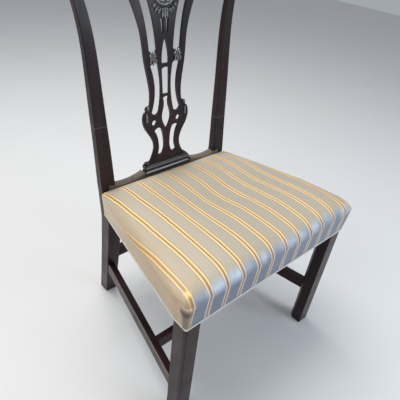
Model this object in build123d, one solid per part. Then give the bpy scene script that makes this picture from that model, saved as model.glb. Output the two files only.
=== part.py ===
from build123d import *
import math
import os

# A mahogany side chair with a pierced splat and a seat stuffed over its rails.
# Millimetres. x runs across the chair, y from the front faces of the front legs towards the back,
# z up from the floor. Right-hand pieces are drawn, and left-hand ones are their mirror images.

# Seat frame
front_width = 535.0
back_width = 413.0
seat_depth = 402.0
rail_bottom = 365.5
rail_height = 57.5
rail_thickness = 26.0

# Front legs
front_leg_size = 38.0
front_leg_bead = 2.2
front_leg_quirk = 1.0
front_leg_chamfer = 9.0

# Back posts: rear leg below the knee, straight block at the rails, raked stile above the seat
post_lap = 9.0
post_width = 39.0
post_depth = 41.0
post_corner = 1.5
post_back_round = 6.0
knee_height = 345.0
foot_width = 36.0
foot_depth = 39.0
foot_rake = 71.0
foot_sweep = 1.1
foot_lean = 22.5
stile_setback = 15.5
stile_rake = 47.0
stile_bow = 0.12
stile_lean = 5.0
stile_flare = 22.5
stile_flare_start = 0.65
stile_top_width = 21.5
stile_top_depth = 20.0
post_stations = 7

# Back rail and the shoe on it
back_rail_step = 1.0
back_rail_thickness = 36.0
back_rail_rise = 7.0
back_rail_sweep = 11.0
shoe_width = 156.0
shoe_height = 30.0
shoe_depth = 22.0
shoe_front_moulding = 6.5
shoe_side_moulding = 11.0
shoe_lip = 2.2
shoe_clearance = 0.3
splat_shoe_tenon = 14.0

# Splat, a flat board that leans back with the stiles
back_rake = 5.9
back_length = 447.0
splat_thickness = 7.5
splat_base_half = 58.0
splat_head_half = 118.0
splat_head = 9.0
splat_crest_tenon = 12.0
splat_tenon_shoulder = 6.0
eye_radius = 7.5
ring_radius = 21.0
ring_drop = 44.0
opening_arch = 4.0

# Crest rail
crest_height = 60.0
crest_front = 7.0
crest_thickness = 22.0
crest_overhang = 18.0
crest_arch = 8.0
crest_round = 4.0

# Stretchers
stretcher_top = 148.0
stretcher_height = 32.0
stretcher_thickness = 20.0
stretcher_inset = 2.0
stretcher_round = 2.0
cross_stretcher_place = 131.0
cross_stretcher_thickness = 18.0
rear_stretcher_top = 191.0
rear_stretcher_thickness = 18.0

# Tenons and their fit
rail_tenon_thickness = 8.0
rail_tenon_height = 40.0
front_tenon_length = 17.0
side_tenon_length = 22.0
back_tenon_length = 16.0
stretcher_tenon_thickness = 8.0
stretcher_tenon_height = 20.0
stretcher_tenon_length = 16.0
cross_tenon_length = 11.0
stile_tenon_width = 11.0
stile_tenon_depth = 9.0
stile_tenon_length = 22.0
tenon_root = 6.0
fit_gap = 0.1
tip_gap = 1.0

# Corner blocks and their screws
block_reach = 46.0
block_drop = 6.0
block_height = 44.0
screw_place = 22.0
screw_spread = 12.0
screw_radius = 2.2
screw_head_radius = 4.4
screw_head_height = 2.6
screw_grip = 10.0
screw_bite = 16.0

# Webbing, hessian and the tacks of the webbing
web_width = 50.0
web_thickness = 1.2
web_gap = 0.2
web_lengthways = 4
web_lengthways_pitch = 92.0
web_crossways = 3
web_crossways_first = 104.0
web_crossways_pitch = 98.0
web_end_inset = 8.0
web_slope = 14.0
hessian_thickness = 0.8
hessian_inset = 6.0
tack_radius = 0.9
tack_head_radius = 3.2
tack_head_height = 0.8
tack_length = 11.0
tack_spread = 16.0

# Stuffing and covers
crown_height = 37.0
crown_fall = 2.2
edge_fall = 0.8
edge_height = 8.0
edge_bulge = 3.5
# Each tier of the crown: its plan's scale and its share of the rise from the edge to the top
crown_tiers = [(0.985, 0.45), (0.9, 0.78), (0.72, 0.94), (0.4, 1.0)]
flank_round = 90.0
cover_clearance = 0.4
cover_thickness = 1.5
cover_turn_under = 15.0
gimp_height = 5.0
gimp_thickness = 1.3
dust_cover_thickness = 0.8
dust_cover_inset = 6.0
dust_tack_inset = 10.0
front_dust_tacks = 7
side_dust_tacks = 5
back_dust_tacks = 4
brad_radius = 1.2
brad_length = 26.0
brad_place = 50.0

# Worked out from the sizes above
front_half = front_width / 2
back_half = back_width / 2
rail_top = rail_bottom + rail_height
leg_inner = front_half - front_leg_size
side_run = seat_depth - front_leg_size
side_angle = math.degrees(math.atan2(front_half - back_half, side_run))
side_frame = Pos(front_half, front_leg_size) * Rot(0, 0, side_angle)
post_front = seat_depth - post_lap
stile_front = post_front + stile_setback
back_rail_top = rail_top + back_rail_rise
back_rail_front = post_front + back_rail_step
back_rail_back = back_rail_front + back_rail_thickness
shoe_top = back_rail_top + shoe_height
shoe_front = back_rail_back - shoe_depth
splat_front = shoe_front + shoe_front_moulding + shoe_lip
rake_sin = math.sin(math.radians(back_rake))
rake_cos = math.cos(math.radians(back_rake))
back_plane = Plane((0, splat_front, shoe_top), x_dir=(1, 0, 0), z_dir=(0, -rake_cos, rake_sin))
stile_top = shoe_top + back_length * rake_cos
splat_base = splat_thickness * rake_sin / rake_cos
screw_middle = rail_top - block_drop - block_height / 2
web_top = rail_top + 2 * web_thickness + web_gap
pad_bottom = web_top + hessian_thickness
cover_inner = cover_clearance
cover_outer = cover_inner + cover_thickness
cover_bottom = rail_bottom - cover_thickness
dust_cover_bottom = cover_bottom - dust_cover_thickness


def block(x0, x1, y0, y1, z0, z1):
    """A box between two corners."""
    return Pos((x0 + x1) / 2, (y0 + y1) / 2, (z0 + z1) / 2) * Box(x1 - x0, y1 - y0, z1 - z0)


def left(shape):
    """The left-hand twin of a right-hand piece."""
    return mirror(shape, about=Plane.YZ)


def both(shape):
    """A right-hand piece together with its left-hand twin."""
    return [shape, left(shape)]


def cut(shape, tools):
    """Takes every tool out of a shape."""
    return shape - list(tools)


def tongue(place, thickness, height, length, gap=0.0, tip=0.0):
    """A tenon along local +y from a shoulder at the origin, rooted behind it. With gaps, its mortise."""
    half = thickness / 2 + gap
    rise = height / 2 + gap
    return place * block(-half, half, -tenon_root, length + tip, -rise, rise)


def mortise(place, thickness, height, length):
    """The hole for a tongue of the same place and size."""
    return tongue(place, thickness, height, length, fit_gap, tip_gap)


# Back posts

def post_section(x_outer, width, y_front, depth, z, back_round):
    """A post's cross-section: crisp front arrises and rounded back ones."""
    plate = Pos(x_outer - width / 2, y_front + depth / 2, z) * Rectangle(width, depth)
    plate = fillet(plate.vertices().group_by(Axis.Y)[0], post_corner)
    return fillet(plate.vertices().group_by(Axis.Y)[-1], back_round)


def mix(start, end, share):
    """The value at a share of the way from start to end."""
    return start + (end - start) * share


def rear_leg_outer(z):
    """The x of a rear leg's outer face at a height below the rails' top."""
    return back_half - foot_lean * (1 - z / rail_top)


def rear_leg_front(z):
    """The y of a rear leg's front face at a height below the knee."""
    return post_front + foot_rake * (1 - z / knee_height) ** foot_sweep


def rear_leg_section(z):
    """The section of a rear leg at a height below the knee."""
    fall = 1 - z / knee_height
    width = mix(post_width, foot_width, fall)
    depth = mix(post_depth, foot_depth, fall)
    return post_section(rear_leg_outer(z), width, rear_leg_front(z), depth, z, post_back_round)


def rail_block_section(z):
    """The section of the straight block that takes the seat rails."""
    return post_section(rear_leg_outer(z), post_width, post_front, post_depth, z, post_back_round)


def stile_outer(share):
    """The x of a stile's outer face at a share of its height."""
    flare = max(0.0, (share - stile_flare_start) / (1 - stile_flare_start)) ** 2
    return back_half + stile_lean * share + stile_flare * flare


def stile_width(share):
    """The width of a stile's face at a share of its height."""
    return mix(post_width, stile_top_width, share)


def stile_face(share):
    """The y of a stile's front face at a share of its height."""
    return stile_front + stile_rake * mix(share, share**2, stile_bow)


def stile_depth(share):
    """The depth of a stile from front to back at a share of its height."""
    return mix(post_depth - stile_setback, stile_top_depth, share)


def stile_section(share):
    """The section of a stile at a share of its height above the rails."""
    z = mix(rail_top, stile_top, share)
    width = stile_width(share)
    depth = stile_depth(share)
    return post_section(stile_outer(share), width, stile_face(share), depth, z, post_back_round)


def stile_tenon_place():
    """Where the stile's tenon leaves the underside of the crest rail, in the plane of the back."""
    x = stile_outer(1) - stile_width(1) / 2
    middle = stile_face(1) + stile_depth(1) / 2
    depth = (middle - splat_front - back_length * rake_sin) / rake_cos
    return back_plane.location * Pos(x, back_length, -depth)


def back_post():
    """The right back post, with its tenon for the crest rail."""
    shares = [i / (post_stations - 1) for i in range(post_stations)]
    leg = loft([rear_leg_section(knee_height * share) for share in shares])
    rail_block = loft([rail_block_section(knee_height), rail_block_section(rail_top)], ruled=True)
    overrun = 1 + crest_height / 2 / (stile_top - rail_top)
    stile = loft([stile_section(share * overrun) for share in shares])
    above = Pos(0, back_length + crest_height, 0) * Box(2 * front_width, 2 * crest_height, front_width)
    stile = stile - back_plane.location * above
    tenon = tongue(stile_tenon_place(), stile_tenon_width, stile_tenon_depth, stile_tenon_length)
    return leg + rail_block + stile + tenon


# Front legs

def front_leg():
    """The right front leg: square, chamfered inside, with a quirked bead on its outer corner."""
    leg = block(leg_inner, front_half, 0, front_leg_size, 0, rail_top)
    uprights = leg.edges().filter_by(Axis.Z)
    inner_arris = uprights.sort_by_distance((leg_inner, front_leg_size, rail_top / 2))[0]
    leg = chamfer(inner_arris, front_leg_chamfer)
    uprights = leg.edges().filter_by(Axis.Z)
    outer_arris = uprights.sort_by_distance((front_half, 0, rail_top / 2))[0]
    leg = fillet(outer_arris, front_leg_bead)
    near = 2 * front_leg_bead
    far = near + front_leg_quirk
    front_groove = block(front_half - far, front_half - near, 0, front_leg_quirk, 0, rail_top)
    side_groove = block(front_half - front_leg_quirk, front_half, near, far, 0, rail_top)
    return cut(leg, [front_groove, side_groove])


# Seat rails

def rail_level():
    """The height of the middle of a seat rail, where its tenons sit."""
    return rail_bottom + rail_height / 2


front_tenon_place = Pos(leg_inner, rail_thickness / 2, rail_level()) * Rot(0, 0, -90)
side_front_tenon_place = side_frame * Pos(-rail_thickness / 2, 0, rail_level()) * Rot(0, 0, 180)
side_back_shoulder = (post_front - front_leg_size) / math.cos(math.radians(side_angle))
side_back_tenon_place = side_frame * Pos(-rail_thickness / 2, side_back_shoulder, rail_level())
back_tenon_place = Pos(
    rear_leg_outer(rail_level()) - post_width, back_rail_front + back_rail_thickness / 2, rail_level()
) * Rot(0, 0, -90)
rail_tenon = (rail_tenon_thickness, rail_tenon_height)


def front_rail():
    """The front seat rail with a tenon at each end."""
    rail = block(-leg_inner, leg_inner, 0, rail_thickness, rail_bottom, rail_top)
    for tenon in both(tongue(front_tenon_place, *rail_tenon, front_tenon_length)):
        rail = rail + tenon
    return rail


def side_rail():
    """The right side rail, mitred to the front leg and the post, with its tenons."""
    start = -rail_thickness
    end = side_back_shoulder + rail_thickness
    rail = side_frame * block(-rail_thickness, 0, start, end, rail_bottom, rail_top)
    rail = rail & block(0, front_width, front_leg_size, post_front, 0, stile_top)
    rail = rail + tongue(side_front_tenon_place, *rail_tenon, side_tenon_length)
    return rail + tongue(side_back_tenon_place, *rail_tenon, side_tenon_length)


def back_rail(posts):
    """The back rail: rebated for the stuffing, its show-wood top swept up to the shoe and the posts."""
    reach = back_half - post_width / 2
    lower = block(-reach, reach, back_rail_front, back_rail_back, rail_bottom, rail_top)
    shoe_end = shoe_width / 2 + shoe_clearance
    high = back_rail_top + back_rail_sweep
    outline = [
        Line((-shoe_end, back_rail_top), (shoe_end, back_rail_top)),
        Line((-reach, rail_top), (reach, rail_top)),
    ]
    for side in (-1, 1):
        dip = (side * (shoe_end + reach) / 2, back_rail_top)
        outline.append(Line((side * shoe_end, back_rail_top), (side * shoe_end, high)))
        outline.append(ThreePointArc((side * shoe_end, high), dip, (side * reach, high)))
        outline.append(Line((side * reach, high), (side * reach, rail_top)))
    show_face = Plane.XZ.offset(-back_rail_back) * make_face(outline)
    show_wood = extrude(show_face, back_rail_back - stile_front)
    rail = cut(lower + show_wood, posts)
    for tenon in both(tongue(back_tenon_place, *rail_tenon, back_tenon_length)):
        rail = rail + tenon
    return rail


# Shoe and splat

def moulding(face, inset, base):
    """A shoe's moulded edge from its base to its top: fillet, cavetto and two reeds."""
    def at(share, rise):
        return (face + inset * share, base + shoe_height * rise)

    return [
        Line(at(0, 0), at(0, 0.16)),
        Line(at(0, 0.16), at(0.2, 0.16)),
        ThreePointArc(at(0.2, 0.16), at(0.58, 0.29), at(0.75, 0.5)),
        Line(at(0.75, 0.5), at(0.6, 0.5)),
        ThreePointArc(at(0.6, 0.5), at(0.45, 0.59), at(0.6, 0.68)),
        ThreePointArc(at(0.6, 0.68), at(0.5, 0.76), at(0.6, 0.84)),
        Line(at(0.6, 0.84), at(1, 0.84)),
        Line(at(1, 0.84), at(1, 1)),
    ]


def shoe():
    """The moulded shoe, with the mortise that holds the foot of the splat."""
    half = shoe_width / 2
    front_edges = moulding(shoe_front, shoe_front_moulding, back_rail_top)
    side_outline = front_edges + [
        Line(front_edges[-1] @ 1, (back_rail_back, shoe_top)),
        Line((back_rail_back, shoe_top), (back_rail_back, back_rail_top)),
        Line((back_rail_back, back_rail_top), front_edges[0] @ 0),
    ]
    lengthways = extrude(Plane.YZ * make_face(side_outline), half, both=True)
    right_edges = moulding(half, -shoe_side_moulding, back_rail_top)
    left_edges = moulding(-half, shoe_side_moulding, back_rail_top)
    end_outline = right_edges + left_edges + [
        Line(right_edges[-1] @ 1, left_edges[-1] @ 1),
        Line(right_edges[0] @ 0, left_edges[0] @ 0),
    ]
    crossways = extrude(Plane.XZ.offset(-back_rail_back) * make_face(end_outline), shoe_depth)
    return (lengthways & crossways) - splat_foot(fit_gap, tip_gap)


def splat_foot(gap=0.0, tip=0.0):
    """The splat's foot tenon in the shoe. With gaps, its mortise."""
    half = splat_base_half - splat_tenon_shoulder + gap
    foot = block(-half, half, -splat_shoe_tenon - tip, splat_head, -splat_thickness - gap, gap)
    return back_plane.location * foot


def splat_top(gap=0.0, tip=0.0):
    """The splat's tenon in the crest rail. With gaps, its mortise."""
    half = splat_head_half - splat_tenon_shoulder + gap
    low = back_length - splat_head / 2
    high = back_length + splat_crest_tenon + tip
    return back_plane.location * block(-half, half, low, high, -splat_thickness - gap, gap)


def mirrored(points):
    """The same outline points on the left-hand side."""
    return [(-x, rise) for x, rise in points]


def two_sided(points, arch=0.0):
    """A face bounded by a curve and its mirror image, its top end arched upwards by arch."""
    edges = [Spline(points), Spline(mirrored(points))]
    x, rise = points[0]
    if x > 0:
        edges.append(Line((x, rise), (-x, rise)))
    x, rise = points[-1]
    if x > 0:
        edges.append(ThreePointArc((x, rise), (0, rise + arch), (-x, rise)))
    return make_face(edges)


def splat_outline():
    """The splat's silhouette: a vase with leaf-tipped shoulders, and bars that fan out to the crest."""
    top = back_length
    edges = [
        Spline(
            (splat_base_half, splat_base), (48.5, 17), (40.7, 40), (46.7, 65),
            (65.5, 95), (71.5, 117), (66, 137),
        ),
        Line((66, 137), (60.5, 139)),
        ThreePointArc((60.5, 139), (62, 146), (59, 151)),
        Line((59, 151), (49.5, 153)),
        Spline(
            (49.5, 153), (47.6, 165), (59.3, top - 189),
            (65.4, top - 133), (83.7, top - 72), (splat_head_half, top),
        ),
    ]
    ends = [
        Line((splat_base_half, splat_base), (-splat_base_half, splat_base)),
        Line((splat_head_half, top), (-splat_head_half, top)),
    ]
    return make_face(edges + [mirror(edge, about=Plane.YZ) for edge in edges] + ends)


def splat_side_openings():
    """The openings of the right half: vase slot, eye, the two gaps between the bars, husk slit."""
    top = back_length
    slot = make_face([
        Spline((16, 18), (8.7, 36), (8.6, 53), (11.7, 75), (18, 90)),
        ThreePointArc((18, 90), (29, 92), (39, 86)),
        Spline((39, 86), (32.7, 75), (28, 58), (26.5, 38), (31, 20)),
        ThreePointArc((31, 20), (24, 17), (16, 18)),
    ])
    eye = Pos(38, 107) * Circle(eye_radius)
    lower_gap = make_face([
        Spline((21.5, 137), (17.1, 160), (20.9, top - 200)),
        ThreePointArc((20.9, top - 200), (33, top - 194), (44.5, top - 200)),
        Spline((44.5, top - 200), (37.5, 160), (45, 137)),
        ThreePointArc((45, 137), (33, 127), (21.5, 137)),
    ])
    upper_gap = make_face([
        Spline((23.5, top - 165), (26.8, top - 133), (39.6, top - 72), (68, top - splat_head)),
        Line((68, top - splat_head), (95, top - splat_head)),
        Spline((95, top - splat_head), (63, top - 72), (50.4, top - 133), (47, top - 165)),
        ThreePointArc((47, top - 165), (35, top - 171), (23.5, top - 165)),
    ])
    slit = make_face([
        Spline((3.4, top - 129), (3.6, top - 115), (4.4, top - 100)),
        Line((4.4, top - 100), (12, top - 100)),
        Spline((12, top - 100), (10.4, top - 115), (9.2, top - 129)),
        Line((9.2, top - 129), (3.4, top - 129)),
    ])
    return [slot, eye, lower_gap, upper_gap, slit]


def splat_middle_openings():
    """The openings on the centre line: the flame above the vase, a slot, a lens and the ring."""
    top = back_length
    flame = two_sided([(0, 84), (9, 99), (14.5, 117), (9.4, 141), (9.6, 166)], arch=opening_arch)
    bar_gap = two_sided([(10, 175.5), (11.5, top - 210)], arch=opening_arch)
    lens = two_sided([(11, top - 198), (10.8, top - 183), (7.6, top - 160), (0, top - 137)])
    ring = Pos(0, top - ring_drop) * Circle(ring_radius)
    return [flame, bar_gap, lens, ring]


def splat():
    """The pierced splat with its foot and head tenons."""
    face = splat_outline()
    for opening in splat_side_openings():
        face = face - opening - mirror(opening, about=Plane.YZ)
    face = cut(face, splat_middle_openings())
    board = extrude(back_plane * face, -splat_thickness)
    return board + splat_foot() + splat_top()


# Crest rail

def crest_outline():
    """The crest rail's face: serpentine top, ears that overhang the stiles, arched underside."""
    post_inner = stile_outer(1) - stile_width(1) - crest_front
    post_outer = stile_outer(1) + stile_lean
    crest_ear = post_outer + crest_overhang
    low = back_length
    high = low + crest_height
    arch_middle = (splat_head_half + post_inner) / 2
    ear_top = (crest_ear - 14, high - 10)
    edges = [
        ThreePointArc((splat_head_half, low), (arch_middle, low + crest_arch), (post_inner, low)),
        Line((post_inner, low), (post_outer, low)),
        Spline((post_outer, low), (crest_ear - 3, high - 38), (crest_ear, high - 25), ear_top),
        Spline(
            ear_top, (crest_ear * 0.78, high - 11), (crest_ear * 0.45, high - 14), (0, high),
            tangents=[(-1, 0.25), (-1, 0)],
        ),
    ]
    under = Line((splat_head_half, low), (-splat_head_half, low))
    return make_face(edges + [mirror(edge, about=Plane.YZ) for edge in edges] + [under])


def crest_rail():
    """The crest rail, rounded along its top, with mortises for the stiles and the splat."""
    face = Plane(back_plane.location * Pos(0, 0, crest_front)) * crest_outline()
    rail = extrude(face, -crest_thickness)
    flats = rail.faces().filter_by(GeomType.PLANE).filter_by(Axis((0, 0, 0), back_plane.z_dir))
    rims = [edge for flat in flats for edge in flat.edges().filter_by(GeomType.BSPLINE)]
    rail = fillet(rims, crest_round)
    stile_mortise = mortise(stile_tenon_place(), stile_tenon_width, stile_tenon_depth, stile_tenon_length)
    return cut(rail, both(stile_mortise) + [splat_top(fit_gap, tip_gap)])


# Stretchers

stretcher_level = stretcher_top - stretcher_height / 2
rear_stretcher_level = rear_stretcher_top - stretcher_height / 2
stretcher_rise = rear_leg_outer(stretcher_level) - front_half
stretcher_run = rear_leg_front(stretcher_level) - front_leg_size
stretcher_angle = math.degrees(math.atan2(-stretcher_rise, stretcher_run))
stretcher_length = math.hypot(stretcher_rise, stretcher_run)
stretcher_middle = stretcher_inset + stretcher_thickness / 2
stretcher_start = Pos(front_half - stretcher_middle, front_leg_size, stretcher_level)
stretcher_frame = stretcher_start * Rot(0, 0, stretcher_angle)
stretcher_tenon = (stretcher_tenon_thickness, stretcher_tenon_height)
stretcher_front_place = stretcher_frame * Rot(0, 0, 180)
stretcher_back_place = stretcher_frame * Pos(0, stretcher_length, 0)
cross_middle = cross_stretcher_place + cross_stretcher_thickness / 2
cross_half = front_half - stretcher_middle - (cross_middle - front_leg_size) * math.tan(
    math.radians(stretcher_angle)
)
cross_shoulder = cross_half - stretcher_thickness / 2 / math.cos(math.radians(stretcher_angle))
cross_tenon_place = Pos(cross_shoulder, cross_middle, stretcher_level) * Rot(0, 0, -90)
rear_leg_inner = rear_leg_outer(rear_stretcher_level) - mix(
    post_width, foot_width, 1 - rear_stretcher_level / knee_height
)
rear_leg_middle = rear_leg_front(rear_stretcher_level) + post_depth / 2
rear_tenon_place = Pos(rear_leg_inner, rear_leg_middle, rear_stretcher_level) * Rot(0, 0, -90)


def bar(length, thickness):
    """A stretcher's bar along local y, its top edges eased."""
    body = Box(thickness, length, stretcher_height)
    ends = body.edges().filter_by(Axis.Y).group_by(Axis.Z)[-1]
    return fillet(ends, stretcher_round)


def side_stretcher(post):
    """The right side stretcher, fitted between the front leg and the rear leg."""
    overrun = stretcher_thickness / 2
    body = bar(stretcher_length + 2 * overrun, stretcher_thickness)
    body = stretcher_frame * Pos(0, stretcher_length / 2, 0) * body
    body = body & block(0, front_width, front_leg_size, post_front + foot_rake, 0, rail_bottom)
    body = body - post
    body = body + tongue(stretcher_front_place, *stretcher_tenon, stretcher_tenon_length)
    body = body + tongue(stretcher_back_place, *stretcher_tenon, stretcher_tenon_length)
    return body - mortise(cross_tenon_place, *stretcher_tenon, cross_tenon_length)


def cross_stretcher(side_stretchers):
    """The stretcher between the two side stretchers."""
    body = Rot(0, 0, 90) * bar(2 * cross_half, cross_stretcher_thickness)
    body = cut(Pos(0, cross_middle, stretcher_level) * body, side_stretchers)
    for tenon in both(tongue(cross_tenon_place, *stretcher_tenon, cross_tenon_length)):
        body = body + tenon
    return body


def rear_stretcher(posts):
    """The stretcher between the rear legs, set higher than the others."""
    length = 2 * (rear_leg_inner + stretcher_tenon_length / 2)
    body = Rot(0, 0, 90) * bar(length, rear_stretcher_thickness)
    body = cut(Pos(0, rear_leg_middle, rear_stretcher_level) * body, posts)
    for tenon in both(tongue(rear_tenon_place, *stretcher_tenon, stretcher_tenon_length)):
        body = body + tenon
    return body


# Corner blocks and screws

def side_inner(y):
    """The point of the right side rail's inner face at a given y."""
    angle = math.radians(side_angle)
    x = front_half - rail_thickness / math.cos(angle) - (y - front_leg_size) * math.tan(angle)
    return (x, y)


def corner_block(points, neighbours):
    """A glue block that fills a corner of the seat frame between its rails."""
    low = rail_top - block_drop - block_height
    plate = Pos(0, 0, low) * make_face(Polyline(*points, close=True))
    return cut(extrude(plate, block_height), neighbours)


def front_block(leg):
    """The right front corner block."""
    points = [
        (leg_inner - block_reach, rail_thickness),
        side_inner(rail_thickness),
        side_inner(front_leg_size + block_reach),
    ]
    return corner_block(points, [leg])


def back_block(post):
    """The right back corner block."""
    points = [
        (back_half - post_width - block_reach, back_rail_front),
        side_inner(back_rail_front),
        side_inner(post_front - block_reach),
    ]
    return corner_block(points, [post])


upper_screw = screw_middle + screw_spread / 2
lower_screw = screw_middle - screw_spread / 2
screw_into_side = side_frame * Pos(-rail_thickness, 0, upper_screw)
front_screw_places = [
    Pos(leg_inner - screw_place, rail_thickness, lower_screw) * Rot(-90, 0, 0),
    screw_into_side * Pos(0, screw_place, 0) * Rot(0, -90, 0),
]
back_screw_places = [
    Pos(back_half - post_width - screw_place, back_rail_front, lower_screw) * Rot(90, 0, 0),
    screw_into_side * Pos(0, side_back_shoulder - screw_place, 0) * Rot(0, -90, 0),
]


def pin(radius, low, high):
    """A round bar along local z between two heights."""
    return Pos(0, 0, (low + high) / 2) * Cylinder(radius, high - low)


def screw(place):
    """A wood screw whose origin is on the face of the rail it bites into."""
    head = pin(screw_head_radius, screw_grip, screw_grip + screw_head_height)
    return place * (pin(screw_radius, -screw_bite, screw_grip) + head)


def screw_way(place):
    """The hole through a corner block, counterbored for the screw's head."""
    shank = pin(screw_radius + fit_gap, -fit_gap, screw_grip + fit_gap)
    counterbore = pin(screw_head_radius + fit_gap, screw_grip, screw_grip + 2 * block_reach)
    return place * (shank + counterbore)


def screw_pilot(place):
    """The hole that a screw bites into in a rail."""
    return place * pin(screw_radius + fit_gap, -screw_bite - tip_gap, fit_gap)


# Webbing, hessian and tacks

lengthways_x = [(i - (web_lengthways - 1) / 2) * web_lengthways_pitch for i in range(web_lengthways)]
crossways_y = [web_crossways_first + j * web_crossways_pitch for j in range(web_crossways)]
web_front = web_end_inset
web_back = seat_depth - web_gap


def strap_profile(start, end, crossings):
    """The side view of a strap that passes over or under each crossing. crossings: (place, is_over)."""
    flat = web_width / 2 + web_gap
    path = [(start, rail_top)]
    for place, is_over in crossings:
        if is_over:
            high = rail_top + web_thickness + web_gap
            path.append((place - flat - web_slope, rail_top))
            path.append((place - flat, high))
            path.append((place + flat, high))
            path.append((place + flat + web_slope, rail_top))
    path.append((end, rail_top))
    upper = [(place, z + web_thickness) for place, z in path]
    return make_face(Polyline(*path, *reversed(upper), close=True))


def strap_end(y):
    """How far a crossways strap reaches at a given y."""
    return front_half - (y - front_leg_size) * math.tan(math.radians(side_angle)) - web_end_inset


def lengthways_straps():
    """The straps from front to back, each woven over every other crossing."""
    straps = []
    for i, x in enumerate(lengthways_x):
        crossings = [(y, (i + j) % 2 == 0) for j, y in enumerate(crossways_y)]
        profile = Plane.YZ.offset(x) * strap_profile(web_front, web_back, crossings)
        straps.append(extrude(profile, web_width / 2, both=True))
    return straps


def crossways_straps():
    """The straps from side to side, woven the other way."""
    straps = []
    for j, y in enumerate(crossways_y):
        crossings = [(x, (i + j) % 2 == 1) for i, x in enumerate(lengthways_x)]
        reach = strap_end(y + web_width / 2)
        profile = Plane.XZ.offset(-y) * strap_profile(-reach, reach, crossings)
        straps.append(extrude(profile, web_width / 2, both=True))
    return straps


def web_tack_places():
    """Where the webbing tacks stand: two in each end of each strap."""
    margin = tack_head_radius + web_gap
    places = []
    for side in (-1, 1):
        offset = side * tack_spread / 2
        places += [Pos(x + offset, web_front + margin, rail_top) for x in lengthways_x]
        places += [Pos(x + offset, web_back - margin, rail_top) for x in lengthways_x]
        for y in crossways_y:
            reach = strap_end(y + web_width / 2) - margin
            places += [Pos(end * reach, y + offset, rail_top) for end in (-1, 1)]
    return places


def tack(place, under_head):
    """A tack driven down along local -z, its head lying under_head above the origin."""
    head = pin(tack_head_radius, under_head, under_head + tack_head_height)
    return place * (pin(tack_radius, under_head - tack_length, under_head) + head)


def tack_hole(place, under_head):
    """The hole that a tack makes."""
    return place * pin(tack_radius + fit_gap, under_head - tack_length - fit_gap, under_head + fit_gap)


# Stuffing and covers

def seat_outline(grow, scale, z, fall=0):
    """The plan of the stuffed seat, grown outwards, scaled about its middle, at a height at the front.

    fall is the angle by which it falls towards the back.
    """
    middle = seat_depth / 2

    def at(x, y):
        return (x * scale, middle + (y - middle) * scale)

    corners = [
        at(front_half + grow, -grow),
        at(front_half + grow, front_leg_size),
        at(back_half + grow, seat_depth + grow),
    ]
    plan = make_face(Polyline(*corners, *reversed(mirrored(corners)), close=True))
    ranks = plan.vertices().group_by(Axis.Y)
    rounding = front_leg_bead + max(grow, 0)
    plan = fillet(ranks[0], rounding * scale)
    for x, y in (corners[1], mirrored(corners)[1]):
        plan = fillet(plan.vertices().sort_by_distance((x, y, 0))[0], flank_round * scale)
    plan = fillet(plan.vertices().group_by(Axis.Y)[-1], rounding * scale)
    return Pos(0, 0, z) * Rot(-fall, 0, 0) * plan


def crown(grow):
    """The crowned top of the seat above the rails, grown outwards and upwards."""
    top = rail_top + crown_height + grow
    edge = rail_top + edge_height
    outlines = [seat_outline(grow, 1, rail_top), seat_outline(grow + edge_bulge, 1, edge, edge_fall)]
    for scale, rise in crown_tiers:
        outlines.append(seat_outline(grow, scale, mix(edge, top, rise), crown_fall))
    return loft(outlines, ruled=True)


def crown_shell(inner, outer):
    """The skin between two growths of the crown, open below."""
    skins = []
    rims = []
    for form in (crown(outer), crown(inner)):
        base = form.faces().sort_by(Axis.Z)[0]
        rims.append(base.outer_wire())
        skins += [face for face in form.faces() if not face.is_same(base)]
    return Part() + Solid(Shell(skins + [Face(rims[0], [rims[1]])])).fix()


def skirt(inner, outer, bottom):
    """The part of a cover that hangs down the rails, open at the back. inner and outer are growths."""
    wall = extrude(seat_outline(outer, 1, bottom), rail_top - bottom)
    hollow = extrude(seat_outline(inner, 1, bottom), rail_top - bottom)
    behind = block(-back_half - inner, back_half + inner, post_front, 2 * seat_depth, bottom, rail_top)
    return wall - hollow - behind


def hessian():
    """The hessian that lies on the webbing under the stuffing."""
    return extrude(seat_outline(-hessian_inset, 1, web_top), hessian_thickness)


def hair_pad():
    """The stuffing, flat below and crowned above."""
    below = block(-front_width, front_width, -seat_depth, 2 * seat_depth, 0, pad_bottom)
    return crown(0) - below


def seat_cover(holes):
    """The striped cover: crowned top, sides down to the bottom of the rails, edges turned under."""
    cover = crown_shell(cover_inner, cover_outer) + skirt(cover_inner, cover_outer, cover_bottom)
    skin = cover_inner + cover_thickness / 2
    front_flap = block(-leg_inner, leg_inner, -skin, cover_turn_under, cover_bottom, rail_bottom)
    cover = cover + cut(front_flap, holes)
    strip = block(-cover_turn_under, skin, 0, 2 * side_back_shoulder, cover_bottom, rail_bottom)
    between = block(0, front_width, front_leg_size, post_front, 0, stile_top)
    for flap in both(side_frame * strip & between):
        cover = cover + cut(flap, holes)
    return cover


def gimp():
    """The narrow edging glued along the bottom of the cover."""
    full = skirt(cover_outer, cover_outer + gimp_thickness, cover_bottom)
    top = cover_bottom + gimp_height
    return full & block(-front_width, front_width, -seat_depth, seat_depth, cover_bottom, top)


def dust_cover(uprights):
    """The cloth under the seat, cut round the legs and posts."""
    plan = seat_outline(-dust_cover_inset, 1, dust_cover_bottom)
    apron = block(
        -back_half, back_half, seat_depth - 2 * dust_tack_inset, back_rail_back - dust_cover_inset,
        dust_cover_bottom, cover_bottom,
    )
    return cut(extrude(plan, dust_cover_thickness) + apron, uprights)


def spread(count, start, end):
    """Evenly spaced places between two ends, with half a pitch left over at each."""
    return [mix(start, end, (i + 0.5) / count) for i in range(count)]


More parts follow.
